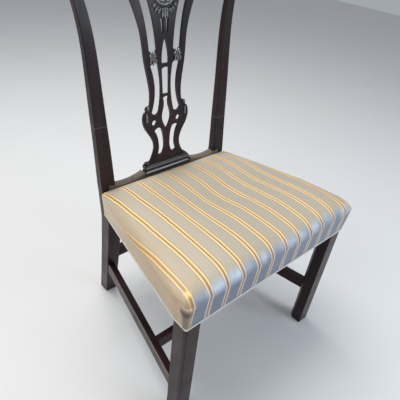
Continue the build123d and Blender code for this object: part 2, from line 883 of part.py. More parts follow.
def dust_tack_places():
    """Where tacks hold the dust cover and the turned-under cover to the rails, pointing up."""
    flip = Rot(180, 0, 0)
    reach = back_half - post_width
    back_y = back_rail_back - dust_cover_inset - dust_tack_inset
    places = [Pos(x, dust_tack_inset, 0) for x in spread(front_dust_tacks, -leg_inner, leg_inner)]
    places += [Pos(x, back_y, 0) for x in spread(back_dust_tacks, -reach, reach)]
    for along in spread(side_dust_tacks, 0, side_back_shoulder):
        spot = (side_frame * Pos(-dust_tack_inset, along, 0)).position
        places += [Pos(side * spot.X, spot.Y, 0) for side in (-1, 1)]
    return [Pos(0, 0, dust_cover_bottom) * place * flip for place in places]


def brad_places():
    """Where the shoe's brads stand, on the top of the back rail."""
    return [Pos(side * brad_place, back_rail_back - dust_cover_inset, back_rail_top) for side in (-1, 1)]


def brad(place, gap=0.0):
    """A headless brad, half in the shoe and half in the back rail. With a gap, its hole."""
    return place * pin(brad_radius + gap, -brad_length / 2 - gap, brad_length / 2 + gap)


# Assembly

plain_post = back_post()
plain_posts = both(plain_post)
plain_leg = front_leg()
plain_back_rail = back_rail(plain_posts)
right_stretcher = side_stretcher(plain_post)
side_stretchers = both(right_stretcher)

post_holes = [
    mortise(side_back_tenon_place, *rail_tenon, side_tenon_length),
    mortise(back_tenon_place, *rail_tenon, back_tenon_length),
    mortise(stretcher_back_place, *stretcher_tenon, stretcher_tenon_length),
    mortise(rear_tenon_place, *stretcher_tenon, stretcher_tenon_length),
]
leg_holes = [
    mortise(front_tenon_place, *rail_tenon, front_tenon_length),
    mortise(side_front_tenon_place, *rail_tenon, side_tenon_length),
    mortise(stretcher_front_place, *stretcher_tenon, stretcher_tenon_length),
]
web_holes = [tack_hole(place, web_thickness) for place in web_tack_places()]
dust_holes = [tack_hole(place, 0) for place in dust_tack_places()]
brad_holes = [brad(place, fit_gap) for place in brad_places()]
front_pilots = [hole for place in front_screw_places for hole in both(screw_pilot(place))]
back_pilots = [hole for place in back_screw_places for hole in both(screw_pilot(place))]
tack_holes = web_holes + dust_holes

right_post = cut(plain_post, post_holes)
right_leg = cut(plain_leg, leg_holes)
right_rail = side_rail()
right_front_block = cut(front_block(plain_leg), [screw_way(place) for place in front_screw_places])
right_back_block = cut(back_block(plain_post), [screw_way(place) for place in back_screw_places])
screws = [twin for place in front_screw_places + back_screw_places for twin in both(screw(place))]

nodes = {
    "right_back_post": right_post,
    "left_back_post": left(right_post),
    "right_front_leg": right_leg,
    "left_front_leg": left(right_leg),
    "front_seat_rail": cut(front_rail(), front_pilots + tack_holes),
    "back_seat_rail": cut(plain_back_rail, back_pilots + tack_holes + brad_holes),
    "right_side_rail": cut(right_rail, front_pilots + back_pilots + tack_holes),
    "left_side_rail": cut(left(right_rail), front_pilots + back_pilots + tack_holes),
    "crest_rail": crest_rail(),
    "splat": splat(),
    "splat_shoe": cut(shoe(), brad_holes),
    "shoe_brads": Compound([brad(place) for place in brad_places()]),
    "right_side_stretcher": right_stretcher,
    "left_side_stretcher": left(right_stretcher),
    "cross_stretcher": cross_stretcher(side_stretchers),
    "rear_stretcher": rear_stretcher(plain_posts),
    "right_front_corner_block": right_front_block,
    "left_front_corner_block": left(right_front_block),
    "right_back_corner_block": right_back_block,
    "left_back_corner_block": left(right_back_block),
    "corner_block_screws": Compound(screws),
    "lengthways_webbing": Compound([cut(strap, web_holes) for strap in lengthways_straps()]),
    "crossways_webbing": Compound([cut(strap, web_holes) for strap in crossways_straps()]),
    "webbing_tacks": Compound([tack(place, web_thickness) for place in web_tack_places()]),
    "hessian": hessian(),
    "hair_pad": hair_pad(),
    "seat_cover": seat_cover(dust_holes),
    "gimp": gimp(),
    "dust_cover": cut(dust_cover(plain_posts + both(plain_leg)), dust_holes),
    "dust_cover_tacks": Compound([tack(place, 0) for place in dust_tack_places()]),
}

# The origin is on the floor under the middle of the whole chair
whole = Compound([solid for shape in nodes.values() for solid in shape.solids()]).bounding_box()
to_origin = Pos(-(whole.min.X + whole.max.X) / 2, -(whole.min.Y + whole.max.Y) / 2, -whole.min.Z)
os.makedirs("parts", exist_ok=True)
for name, shape in nodes.items():
    export_step(to_origin * shape, f"parts/{name}.step")
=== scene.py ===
import logging
import math
from dataclasses import dataclass
from enum import Enum
from typing import Sequence

import bmesh
import bpy
import numpy as np
from mathutils import Matrix, Vector, noise


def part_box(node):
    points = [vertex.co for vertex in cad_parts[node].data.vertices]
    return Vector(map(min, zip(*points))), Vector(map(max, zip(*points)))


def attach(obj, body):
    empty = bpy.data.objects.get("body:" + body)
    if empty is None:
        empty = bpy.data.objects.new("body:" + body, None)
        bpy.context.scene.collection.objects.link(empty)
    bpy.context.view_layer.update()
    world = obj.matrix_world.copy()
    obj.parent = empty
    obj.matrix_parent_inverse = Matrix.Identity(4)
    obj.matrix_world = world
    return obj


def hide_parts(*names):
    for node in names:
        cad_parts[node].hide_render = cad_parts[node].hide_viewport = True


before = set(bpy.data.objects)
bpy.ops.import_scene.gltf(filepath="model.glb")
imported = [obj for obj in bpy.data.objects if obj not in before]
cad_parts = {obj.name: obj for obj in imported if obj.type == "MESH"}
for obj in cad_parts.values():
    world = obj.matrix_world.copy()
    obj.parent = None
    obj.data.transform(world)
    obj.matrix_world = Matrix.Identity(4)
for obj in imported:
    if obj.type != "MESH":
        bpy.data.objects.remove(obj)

LOG = logging.getLogger("side_chair")
BODY = "root"
MIX_FIRST, MIX_SECOND, MIX_RESULT = 6, 7, 2
SETTLING = {
    "quality": 5,
    "mass": 0.3,
    "tension_stiffness": 30,
    "compression_stiffness": 30,
    "shear_stiffness": 15,
    "bending_stiffness": 2,
    "vertex_group_mass": "held",
    "use_pressure": True,
    "uniform_pressure_force": 3,
}

Colour = tuple[float, float, float]
Place = tuple[float, float, float]
Spot = tuple[float, float]
Face = tuple[int, ...]
Key = int | str
Piece = bpy.types.Object
Material = bpy.types.Material
Socket = bpy.types.NodeSocket
Feed = Socket | float | Sequence[float]


class Grain(Enum):
    """The way that a timber's grain runs, as the row axis it follows."""

    ACROSS = 0
    LENGTHWAYS = 1
    UPRIGHT = 2


class Region(Enum):
    """The part of the seat cover that a column of its cloth hangs down."""

    FRONT = 0
    RIGHT = 1
    BACK = 2
    LEFT = 3


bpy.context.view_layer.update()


class Bench:
    """A bench on which one material's nodes are put together."""

    def __init__(self, name: str) -> None:
        """Starts a material with a bare principled shader.

        Args:
            name: The material's name.
        """
        self.material = bpy.data.materials.new(name)
        self.material.use_nodes = True
        self.tree = self.material.node_tree
        self.tree.nodes.clear()
        output = self.tree.nodes.new("ShaderNodeOutputMaterial")
        self.shader = self.tree.nodes.new("ShaderNodeBsdfPrincipled")
        self.tree.links.new(self.shader.outputs["BSDF"], output.inputs["Surface"])

    def feed(self, value: Feed, socket: Socket) -> None:
        """Links a socket to another, or sets its value.

        Args:
            value: A socket to link from, or a constant.
            socket: The socket that takes it.
        """
        if isinstance(value, bpy.types.NodeSocket):
            self.tree.links.new(value, socket)
        elif socket.type == "RGBA":
            socket.default_value = (*value, 1.0)
        else:
            socket.default_value = value

    def shade(self, **settings: Feed) -> None:
        """Feeds the principled shader's sockets, named with _ for a space."""
        for name, value in settings.items():
            self.feed(value, self.shader.inputs[name.replace("_", " ")])

    def node(self, kind: str, inputs: dict[Key, Feed], output: Key = 0, **settings: str) -> Socket:
        """Adds a node and feeds it.

        Args:
            kind: Blender's name of the node, after ShaderNode.
            inputs: What its sockets take, by number or name.
            output: The socket that it gives, by number or name.
            settings: The node's own settings.

        Returns:
            The output's socket.
        """
        node = self.tree.nodes.new(f"ShaderNode{kind}")
        for name, value in settings.items():
            setattr(node, name, value)
        for key, value in inputs.items():
            self.feed(value, node.inputs[key])
        return node.outputs[output]

    def place(self) -> Socket:
        """Gives the point being shaded, in the row frame."""
        return self.node("TexCoord", {}, "Object")

    def split(self, vector: Socket) -> list[Socket]:
        """Takes a vector apart into its x, y and z."""
        parts = self.node("SeparateXYZ", {0: vector}).node.outputs
        return [parts[axis] for axis in "XYZ"]

    def join(self, *parts: Feed) -> Socket:
        """Makes a vector of its x, y and z."""
        return self.node("CombineXYZ", dict(enumerate(parts)))

    def stretch(self, vector: Socket, scale: Sequence[float]) -> Socket:
        """Scales a vector part by part."""
        return self.node("VectorMath", {0: vector, 1: scale}, operation="MULTIPLY")

    def away_from(self, place: Socket, spot: Place) -> Socket:
        """Gives the distance from a fixed spot, in metres."""
        return self.node("VectorMath", {0: place, 1: spot}, "Value", operation="DISTANCE")

    def sum(self, operation: str, *values: Feed) -> Socket:
        """Works one of Blender's sums on numbers or sockets."""
        return self.node("Math", dict(enumerate(values)), operation=operation)

    def times(self, first: Feed, second: Feed) -> Socket:
        """Multiplies two numbers or sockets."""
        return self.sum("MULTIPLY", first, second)

    def ease(self, value: Socket, low: float, high: float, start: float = 0.0, end: float = 1.0) -> Socket:
        """Goes smoothly from start to end as a value goes from low to high."""
        inputs = dict(enumerate((value, low, high, start, end)))
        return self.node("MapRange", inputs, interpolation_type="SMOOTHSTEP")

    def fade(self, value: Socket, low: float, high: float, start: float = 1.0) -> Socket:
        """Goes smoothly from start to 0 as a value goes from low to high."""
        return self.ease(value, low, high, start, 0.0)

    def cloud(self, vector: Socket, scale: float, detail: float = 3.0, roughness: float = 0.5) -> Socket:
        """Gives soft random unevenness of about 0.2 to 0.8, as fine as its scale per metre."""
        inputs = {"Vector": vector, "Scale": scale, "Detail": detail, "Roughness": roughness}
        return self.node("TexNoise", inputs, "Fac")

    def streaks(self, place: Socket, grain: Grain, across: float, along: float, *layers: float) -> Socket:
        """Gives unevenness drawn out along a grain, from its scales across and along it."""
        scale = [along if axis == grain.value else across for axis in range(3)]
        return self.cloud(self.stretch(place, scale), 1.0, *layers)

    def threads(self, value: Socket, pitch: float) -> Socket:
        """Gives rounded ridges across a distance, from 0 between threads to 1 on top of one."""
        turn = self.times(value, math.pi / pitch)
        return self.sum("ABSOLUTE", self.sum("SINE", turn))

    def blend(self, share: Feed, first: Socket | Colour, second: Socket | Colour) -> Socket:
        """Mixes two colours, with a share of the second one."""
        inputs = {"Factor": share, MIX_FIRST: first, MIX_SECOND: second}
        return self.node("Mix", inputs, MIX_RESULT, data_type="RGBA")

    def relief(self, height: Socket, depth: float, strength: float) -> Socket:
        """Turns a height of 0 to 1, so many metres deep, into a bumped normal."""
        return self.node("Bump", {"Distance": depth, "Strength": strength, "Height": height})


@dataclass(frozen=True)
class Mahogany:
    """Dark red-brown mahogany under worn polish, with a mend, a nail hole or a painted highlight along an
    arris.
    """

    grain: Grain
    name: str = "mahogany"
    deep: Colour = (0.0105, 0.0052, 0.0060)
    warm: Colour = (0.037, 0.0148, 0.0172)
    scuff: Colour = (0.085, 0.052, 0.046)
    sheen: tuple[float, float] = (0.26, 0.42)
    shine: float = 0.20
    polish: float = 0.08
    polish_index: float = 1.5
    mend: float | None = None
    nail: Place | None = None
    arris: tuple[float, float, float] | None = None
    glue: Colour = (0.17, 0.125, 0.11)
    hole: Colour = (0.004, 0.003, 0.003)
    painted_arris_highlight: Colour = (0.30, 0.235, 0.21)

    def material(self) -> Material:
        """Makes the wood with its figure, pores and worn polish.

        Returns:
            The material.
        """
        bench = Bench(f"{self.name}_{self.grain.name.lower()}")
        place = bench.place()
        figure = bench.streaks(place, self.grain, 26.0, 1.6, 4.0, 0.6)
        pores = bench.streaks(place, self.grain, 900.0, 24.0, 2.0)
        colour = bench.blend(bench.ease(figure, 0.34, 0.68), self.deep, self.warm)
        colour = bench.blend(bench.times(bench.ease(pores, 0.56, 0.70), 0.55), colour, self.deep)
        rub = bench.ease(bench.cloud(place, 38.0, 5.0, 0.65), 0.62, 0.78)
        colour = bench.blend(bench.times(rub, 0.28), colour, self.scuff)
        if self.mend is not None:
            away = bench.sum("ABSOLUTE", bench.sum("SUBTRACT", bench.split(place)[2], self.mend))
            colour = bench.blend(bench.fade(away, 0.0004, 0.0012, 0.55), colour, self.glue)
        if self.nail is not None:
            hole = bench.fade(bench.away_from(place, self.nail), 0.0018, 0.0028, 0.9)
            colour = bench.blend(hole, colour, self.hole)
        # Painted highlight: a pale line along the outer top arris, where light catches its rounded edge,
        # strongest on rubbed patches.
        if self.arris is not None:
            start, lean, top = self.arris
            x, y, z = bench.split(place)
            out = bench.sum("MULTIPLY_ADD", y, lean, bench.sum("ABSOLUTE", x))
            side = bench.ease(out, start - 0.0035, start - 0.0008)
            edge = bench.times(side, bench.ease(z, top - 0.0035, top - 0.0008))
            colour = bench.blend(bench.times(edge, bench.ease(rub, 0.0, 0.6, 0.75)), colour, self.painted_arris_highlight)
        rough = bench.ease(bench.cloud(place, 16.0, 4.0, 0.6), 0.3, 0.7, *self.sheen)
        bench.shade(Base_Color=colour, Roughness=rough, Specular_IOR_Level=self.shine)
        bench.shade(Coat_Weight=self.polish, Coat_Roughness=0.10, Coat_IOR=self.polish_index)
        bench.shade(Normal=bench.relief(pores, 0.00025, 0.35))
        return bench.material


@dataclass(frozen=True)
class Beech:
    """Bare sawn beech of the hidden seat frame."""

    grain: Grain
    pale: Colour = (0.42, 0.27, 0.155)
    dark: Colour = (0.24, 0.14, 0.078)
    saw_pitch: float = 0.0021

    def material(self) -> Material:
        """Makes the wood with its flecks and saw marks.

        Returns:
            The material.
        """
        bench = Bench(f"beech_{self.grain.name.lower()}")
        place = bench.place()
        figure = bench.streaks(place, self.grain, 70.0, 4.0, 4.0, 0.6)
        flecks = bench.streaks(place, self.grain, 1500.0, 180.0, 1.0)
        colour = bench.blend(bench.ease(figure, 0.3, 0.7), self.pale, self.dark)
        colour = bench.blend(bench.ease(flecks, 0.6, 0.75, 0.0, 0.6), colour, self.dark)
        saw = bench.threads(bench.split(place)[self.grain.value], self.saw_pitch)
        bench.shade(Base_Color=colour, Roughness=bench.ease(figure, 0.2, 0.8, 0.62, 0.8))
        bench.shade(Normal=bench.relief(saw, 0.0001, 0.4))
        return bench.material


@dataclass(frozen=True)
class BluedSteel:
    """Dull blued steel of tacks, screws and brads."""

    bright: Colour = (0.11, 0.115, 0.13)
    rust: Colour = (0.075, 0.036, 0.022)

    def material(self) -> Material:
        """Makes the steel with its specks of rust.

        Returns:
            The material.
        """
        bench = Bench("blued_steel")
        specks = bench.cloud(bench.place(), 900.0, 4.0, 0.65)
        rusty = bench.ease(specks, 0.52, 0.66)
        bench.shade(Base_Color=bench.blend(rusty, self.bright, self.rust))
        bench.shade(Metallic=bench.ease(rusty, 0.0, 1.0, 0.9, 0.2))
        bench.shade(Roughness=bench.ease(specks, 0.3, 0.7, 0.38, 0.7))
        bench.shade(Normal=bench.relief(specks, 0.0001, 0.5))
        return bench.material


@dataclass(frozen=True)
class PlainWeave:
    """A plain woven cloth of one yarn."""

    name: str
    yarn: Colour
    shadow: Colour
    pitch: float
    rough: float = 0.9

    def material(self) -> Material:
        """Makes the cloth with its crossing threads.

        Returns:
            The material.
        """
        bench = Bench(self.name)
        place = bench.place()
        x, y, _ = bench.split(place)
        weave = bench.sum("ADD", bench.threads(x, self.pitch), bench.threads(y, self.pitch))
        weave = bench.times(weave, 0.5)
        patchy = bench.cloud(place, 240.0, 4.0, 0.6)
        share = bench.times(bench.ease(weave, 0.15, 0.8), bench.ease(patchy, 0.1, 0.7, 0.55))
        bench.shade(Base_Color=bench.blend(share, self.shadow, self.yarn))
        bench.shade(Roughness=self.rough, Sheen_Weight=0.15)
        bench.shade(Normal=bench.relief(weave, self.pitch * 0.3, 0.7))
        return bench.material


@dataclass(frozen=True)
class CurledHair:
    """Curled horsehair under a thin wadding."""

    hair: Colour = (0.05, 0.035, 0.026)
    wadding: Colour = (0.42, 0.38, 0.32)

    def material(self) -> Material:
        """Makes the matted stuffing.

        Returns:
            The material.
        """
        bench = Bench("curled_hair")
        place = bench.place()
        strands = bench.cloud(place, 1300.0, 5.0, 0.7)
        clumps = bench.cloud(place, 60.0)
        share = bench.times(bench.ease(strands, 0.4, 0.62), bench.ease(clumps, 0.3, 0.7, 0.45))
        bench.shade(Base_Color=bench.blend(share, self.hair, self.wadding), Roughness=0.95, Sheen_Weight=0.2)
        bench.shade(Normal=bench.relief(strands, 0.0012, 0.8))
        return bench.material


@dataclass(frozen=True)
class StripedSilk:
    """Ribbed silk with grouped cream and ochre stripes, worn, with painted light, highlights and shade on it.
    """

    pitch: float = 0.046
    offset: float = 0.0156
    rib: float = 0.0021
    warp: float = 0.0008
    ground: Colour = (0.455, 0.398, 0.308)
    paler_and_lit: Colour = (0.64, 0.545, 0.405)
    painted_cool_light: Colour = (0.062, 0.110, 0.195)
    roll_highlight: Colour = (0.70, 0.76, 0.84)
    fleck: Colour = (0.58, 0.56, 0.52)
    rib_glint: Colour = (0.52, 0.58, 0.68)
    rib_shade: Colour = (0.17, 0.16, 0.15)
    cream: Colour = (0.95, 0.735, 0.405)
    cream_in_cool_light: Colour = (0.56, 0.49, 0.50)
    ochre: Colour = (0.47, 0.255, 0.070)
    ochre_in_cool_light: Colour = (0.20, 0.125, 0.125)
    line: Colour = (0.36, 0.215, 0.085)
    tan: Colour = (0.40, 0.255, 0.118)
    dust: Colour = (0.17, 0.15, 0.13)
    soil_and_pleat_dark: Colour = (0.050, 0.040, 0.030)
    lap: Colour = (0.285, 0.215, 0.155)
    frayed: Colour = (0.92, 0.66, 0.24)
    corner: Spot = (0.2725, 0.2480)
    rubbed: Place = (-0.2725, -0.2470, 0.4165)
    torn: Place = (-0.2590, -0.2330, 0.4470)
    lap_edge: float = -0.2610

    def material(self) -> Material:
        """Makes the cloth from its flat cloth map and its wear from places on the seat.

        Returns:
            The material.
        """
        bench = Bench("striped_silk")
        place = bench.place()
        x, y, z = bench.split(place)
        aside = bench.sum("ABSOLUTE", x)
        across, along, _ = bench.split(bench.node("UVMap", {}, uv_map="cloth"))
        # The stripes go by the distance from the middle of their group.
        drift = bench.cloud(bench.join(bench.times(across, 9.0), bench.times(along, 11.0), 0.0), 1.0)
        across = bench.sum("ADD", across, bench.ease(drift, 0.2, 0.8, -0.0014, 0.0014))
        turn = bench.sum("DIVIDE", bench.sum("SUBTRACT", across, self.offset - self.pitch / 2), self.pitch)
        share = bench.sum("SUBTRACT", bench.sum("FRACT", turn), 0.5)
        away = bench.times(bench.sum("ABSOLUTE", share), self.pitch)
        middle = bench.fade(away, 0.0018, 0.0034)
        band = bench.fade(away, 0.0056, 0.0066)
        line = bench.times(bench.ease(away, 0.0062, 0.0070), bench.fade(away, 0.0076, 0.0090))
        ribs = bench.threads(along, self.rib)
        warp = bench.threads(across, self.warp)
        # The ground takes painted cool light on the front, is paler towards the back, takes painted warm
        # light on the left, and has a painted highlight on the front roll.
        front = bench.times(bench.fade(y, -0.2475, -0.222), bench.fade(aside, 0.2650, 0.2700))
        front = bench.times(front, bench.ease(x, -0.2655, -0.2570))
        # Painted cool light: the front below the roll is tinted blue, as if lit by a cool window.
        painted_cool_light = bench.times(front, bench.fade(z, 0.438, 0.456))
        # Paler towards the back, with painted warm light on the left half.
        back_paler_left_lit = bench.sum("MAXIMUM", bench.ease(y, -0.08, 0.14, 0.0, 0.45), bench.fade(x, -0.20, -0.04, 0.40))
        ground = bench.blend(back_paler_left_lit, self.ground, self.paler_and_lit)
        ground = bench.blend(bench.times(painted_cool_light, 0.92), ground, self.painted_cool_light)
        # Painted highlight: broken patches of pale blue gleam along the front roll.
        patch = bench.cloud(bench.join(bench.times(across, 20.0), bench.times(along, 9.0), 0.0), 1.0)
        roll = bench.times(bench.ease(z, 0.418, 0.441), bench.fade(y, -0.249, -0.228))
        gleam = bench.times(roll, bench.ease(patch, 0.40, 0.66, 0.22, 0.85))
        ground = bench.blend(gleam, ground, self.roll_highlight)
        fleck = bench.cloud(bench.join(across, bench.times(along, 0.25), 0.0), 900.0, 2.0)
        ground = bench.blend(bench.ease(fleck, 0.3, 0.7, 0.0, 0.14), ground, self.fleck)
        # Painted highlights: small glints on the ribs, only where the painted cool light is.
        rib_glint = bench.ease(bench.cloud(place, 420.0, 2.0, 0.6), 0.56, 0.70, 0.0, 0.26)
        ground = bench.blend(bench.times(painted_cool_light, rib_glint), ground, self.rib_glint)
        # Painted shade in the furrows between the ribs.
        ground = bench.blend(bench.fade(ribs, 0.0, 0.5, 0.30), ground, self.rib_shade)
        # The stripes on the front take the painted cool light too.
        cool_light_share = bench.times(painted_cool_light, 0.75)
        colour = bench.blend(bench.times(line, 0.62), ground, self.line)
        colour = bench.blend(band, colour, bench.blend(cool_light_share, self.cream, self.cream_in_cool_light))
        colour = bench.blend(middle, colour, bench.blend(cool_light_share, self.ochre, self.ochre_in_cool_light))
        # Painted warm light: the sides turn tan, most towards the bottom, except where the painted cool light
        # is.
        flank = bench.times(bench.ease(aside, 0.19, 0.262), bench.ease(z, 0.432, 0.455, 1.0, 0.5))
        warm = bench.times(flank, bench.sum("SUBTRACT", 1.0, painted_cool_light))
        colour = bench.blend(bench.times(warm, 0.66), colour, self.tan)
        # Dirt lies along the hem and round the left corner, where the cloth is torn; both corner pleats are
        # darker too.
        grime = bench.cloud(place, 45.0, 5.0, 0.62)
        dirty = bench.times(bench.fade(z, 0.365, 0.390), bench.ease(grime, 0.35, 0.75))
        dirty = bench.times(dirty, 0.35)
        colour = bench.blend(dirty, colour, self.dust)
        near_x = bench.sum("POWER", bench.sum("SUBTRACT", aside, self.corner[0]), 2.0)
        near_y = bench.sum("POWER", bench.sum("ADD", y, self.corner[1]), 2.0)
        near = bench.sum("SQRT", bench.sum("ADD", near_x, near_y))
        # Both front corners are darker in a narrow band along their pleats, below the roll.
        pleat = bench.times(bench.fade(near, 0.003, 0.009), bench.fade(z, 0.422, 0.438))
        waver = bench.ease(bench.cloud(place, 70.0, 2.0), 0.3, 0.7, -0.0025, 0.0025)
        inside = bench.fade(bench.sum("ADD", x, waver), self.lap_edge, self.lap_edge + 0.0012)
        lap = bench.times(inside, bench.times(bench.fade(y, -0.2400, -0.2340), bench.fade(z, 0.420, 0.428)))
        colour = bench.blend(bench.times(lap, 0.85), colour, self.lap)
        rubbed = bench.fade(bench.away_from(place, self.rubbed), 0.006, 0.0175)
        worn = bench.sum("MAXIMUM", bench.times(pleat, 0.55), rubbed)
        pleat_dark_and_soil = bench.times(worn, bench.ease(grime, 0.25, 0.55, 0.55, 0.92))
        colour = bench.blend(pleat_dark_and_soil, colour, self.soil_and_pleat_dark)
        torn = bench.fade(bench.away_from(place, self.torn), 0.004, 0.0105)
        torn = bench.times(torn, bench.ease(bench.cloud(place, 420.0, 4.0, 0.7), 0.36, 0.54))
        colour = bench.blend(torn, colour, self.frayed)
        clean = bench.sum("SUBTRACT", 1.0, bench.sum("MAXIMUM", pleat_dark_and_soil, dirty))
        bench.shade(Base_Color=colour, Roughness=bench.ease(clean, 0.0, 1.0, 0.75, 0.40))
        bench.shade(Specular_IOR_Level=0.5, Sheen_Weight=0.25, Sheen_Roughness=0.4)
        fray = bench.times(bench.fade(near, 0.006, 0.020), bench.fade(z, 0.405, 0.445))
        weave = bench.sum("ADD", bench.times(ribs, 0.8), bench.times(warp, 0.2))
        weave = bench.sum("ADD", weave, bench.times(fray, bench.cloud(place, 1500.0, 4.0, 0.7)))
        bench.shade(Normal=bench.relief(weave, 0.00025, 0.55))
        return bench.material


@dataclass(frozen=True)
class GimpBraid:
    """Narrow pale braid with a crossing thread pattern."""

    pale: Colour = (0.80, 0.77, 0.70)
    dull_and_gap_shade: Colour = (0.40, 0.36, 0.29)
    pitch: float = 0.0022

    def material(self) -> Material:
        """Makes the braid.

        Returns:
            The material.
        """
        bench = Bench("gimp_braid")
        place = bench.place()
        x, y, z = bench.split(place)
        run = bench.sum("ADD", x, y)
        slants = [bench.threads(bench.sum(way, run, z), self.pitch) for way in ("ADD", "SUBTRACT")]
        braid = bench.sum("MAXIMUM", *slants)
        worn = bench.cloud(place, 120.0, 4.0, 0.6)
        # The threads are pale and the gaps between them are darker, a painted shade; random wear darkens
        # patches too.
        share = bench.times(bench.ease(braid, 0.3, 0.95), bench.ease(worn, 0.2, 0.6, 0.6))
        bench.shade(Base_Color=bench.blend(share, self.dull_and_gap_shade, self.pale), Roughness=0.6, Sheen_Weight=0.2)
        bench.shade(Normal=bench.relief(braid, 0.0004, 0.8))
        return bench.material


def lump(spot: Sequence[float], scale: float, layer: float) -> float:
    """Gives smooth unevenness of -1 to 1 at a place on the plan, another one for each layer."""
    return noise.noise(Vector((spot[0] * scale, spot[1] * scale, layer)))


def grid_faces(rows: int, columns: int, closed: bool = True, first: int = 0) -> list[Face]:
    """Joins rows of points by faces.

    Args:
        rows: How many rows there are.
        columns: How many points each row has.
        closed: Whether each row goes all the way round.
        first: The number of the first point.

    Returns:
        The faces, as point numbers.
    """
    faces = []
    for row in range(rows - 1):
        low = first + row * columns
        high = low + columns
        for column in range(columns if closed else columns - 1):
            beside = (column + 1) % columns
            faces.append((low + column, low + beside, high + beside, high + column))
    return faces


def turned(faces: Sequence[Face]) -> list[Face]:
    """Turns faces the other way round, each from the same point on."""
    return [face[:1] + face[:0:-1] for face in faces]


def finished(
    name: str, points: Sequence[Sequence[float]], faces: Sequence[Face], finish: Material
) -> Piece:
    """Makes a smooth piece that rides on the chair.

    Args:
        name: The piece's name.
        points: Its points, in metres.
        faces: Its faces, as point numbers.
        finish: Its material.

    Returns:
        The piece.
    """
    mesh = bpy.data.meshes.new(name)
    mesh.from_pydata([tuple(map(float, point)) for point in points], [], faces)
    mesh.materials.append(finish)
    mesh.shade_smooth()
    piece = bpy.data.objects.new(name, mesh)
    bpy.context.scene.collection.objects.link(piece)
    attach(piece, BODY)
    return piece


def give_thickness(piece: Piece, thickness: float, offset: float) -> None:
    """Gives a sheet its thickness for good.

    Args:
        piece: The sheet.
        thickness: How thick it gets.
        offset: -1 grows it inwards, 0 both ways, 1 outwards.
    """
    solid = piece.modifiers.new("thickness", "SOLIDIFY")
    solid.thickness = thickness
    solid.offset = offset
    seen = piece.evaluated_get(bpy.context.evaluated_depsgraph_get())
    mesh = bpy.data.meshes.new_from_object(seen)
    old = piece.data
    piece.modifiers.clear()
    piece.data = mesh
    mesh.name = piece.name
    bpy.data.meshes.remove(old)


@dataclass
class SeatPlan:
    """The plan of the stuffed seat, in the row frame, and how many points its runs and arcs have."""

    front_half: float = 0.2675
    back_half: float = 0.2065
    depth: float = 0.402
    leg: float = 0.038
    flank_round: float = 0.09
    rail_top: float = 0.423
    post_lap: float = 0.009
    fold: float = 0.22
    fold_steps: int = 6
    runs: tuple[int, ...] = (56, 14, 76, 44)
    arcs: tuple[int, ...] = (9, 6, 9)

    def __post_init__(self) -> None:
        """Finds the front of the chair, and the columns of points where parts of the outline end."""
        self.front_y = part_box("right_front_leg")[0][1]
        self.middle = np.array([0.0, self.front_y + self.depth / 2])
        self.side_angle = math.atan2(self.front_half - self.back_half, self.depth - self.leg)
        corner, bend, back_corner = self.arcs
        self.front_column, flank, side, _ = self.runs
        self.corner_column = self.front_column + corner // 2
        self.fold_column = self.front_column + corner + self.fold_steps - 1
        self.last_column = self.front_column + corner + flank + bend + side
        self.back_column = self.last_column + back_corner // 2

    def outline(self, grow: float, corner: float) -> np.ndarray:
        """Draws the outline, against the clock from the middle of the front.

        Args:
            grow: How far it lies outside the frame.
            corner: The radius of its corners.

        Returns:
            The points of the closed outline.
        """
        wide = self.front_half + grow
        end_y = self.depth + grow
        spots = [(0.0, -grow), (wide, -grow), (wide, self.leg), (self.back_half + grow, end_y), (0.0, end_y)]
        marks = [np.array(spot) for spot in spots]
        shares = [np.linspace(0, 1, count, endpoint=False) for count in self.runs]
        shares[1] = self.flank_shares()
        points: list[np.ndarray] = []
        start = marks[0]
        for index, radius in enumerate((corner, self.flank_round, corner)):
            mark = marks[index + 1]
            before = mark - marks[index]
            after = marks[index + 2] - mark
            before = before / np.linalg.norm(before)
            after = after / np.linalg.norm(after)
            turn = math.acos(float(np.clip(before @ after, -1, 1)))
            reach = radius * math.tan(turn / 2)
            end = mark - before * reach
            points += [start + (end - start) * share for share in shares[index]]
            inward = np.array([-before[1], before[0]])
            centre = end + inward * radius
            for angle in turn * np.linspace(0, 1, self.arcs[index], endpoint=False):
                points.append(centre + radius * (before * math.sin(angle) - inward * math.cos(angle)))
            start = mark + after * reach
        points += [start + (marks[-1] - start) * share for share in shares[-1]]
        right = np.array([*points, marks[-1]]) + np.array([0.0, self.front_y])
        return np.concatenate([right, right[-2:0:-1] * np.array([-1.0, 1.0])])

    def flank_shares(self) -> np.ndarray:
        """Spaces the points along a leg's flank, close together at the corner pleat."""
        far = np.linspace(self.fold + 0.02, 1, self.runs[1] - self.fold_steps, endpoint=False)
        return np.concatenate([np.linspace(0, self.fold, self.fold_steps), far])

    def half_width(self, y: np.ndarray, grow: float) -> np.ndarray:
        """Gives half the width, at places along the seat, of an outline that lies outside the frame."""
        along = np.clip(y - self.front_y - self.leg, 0, None)
        return self.front_half + grow - along * math.tan(self.side_angle)


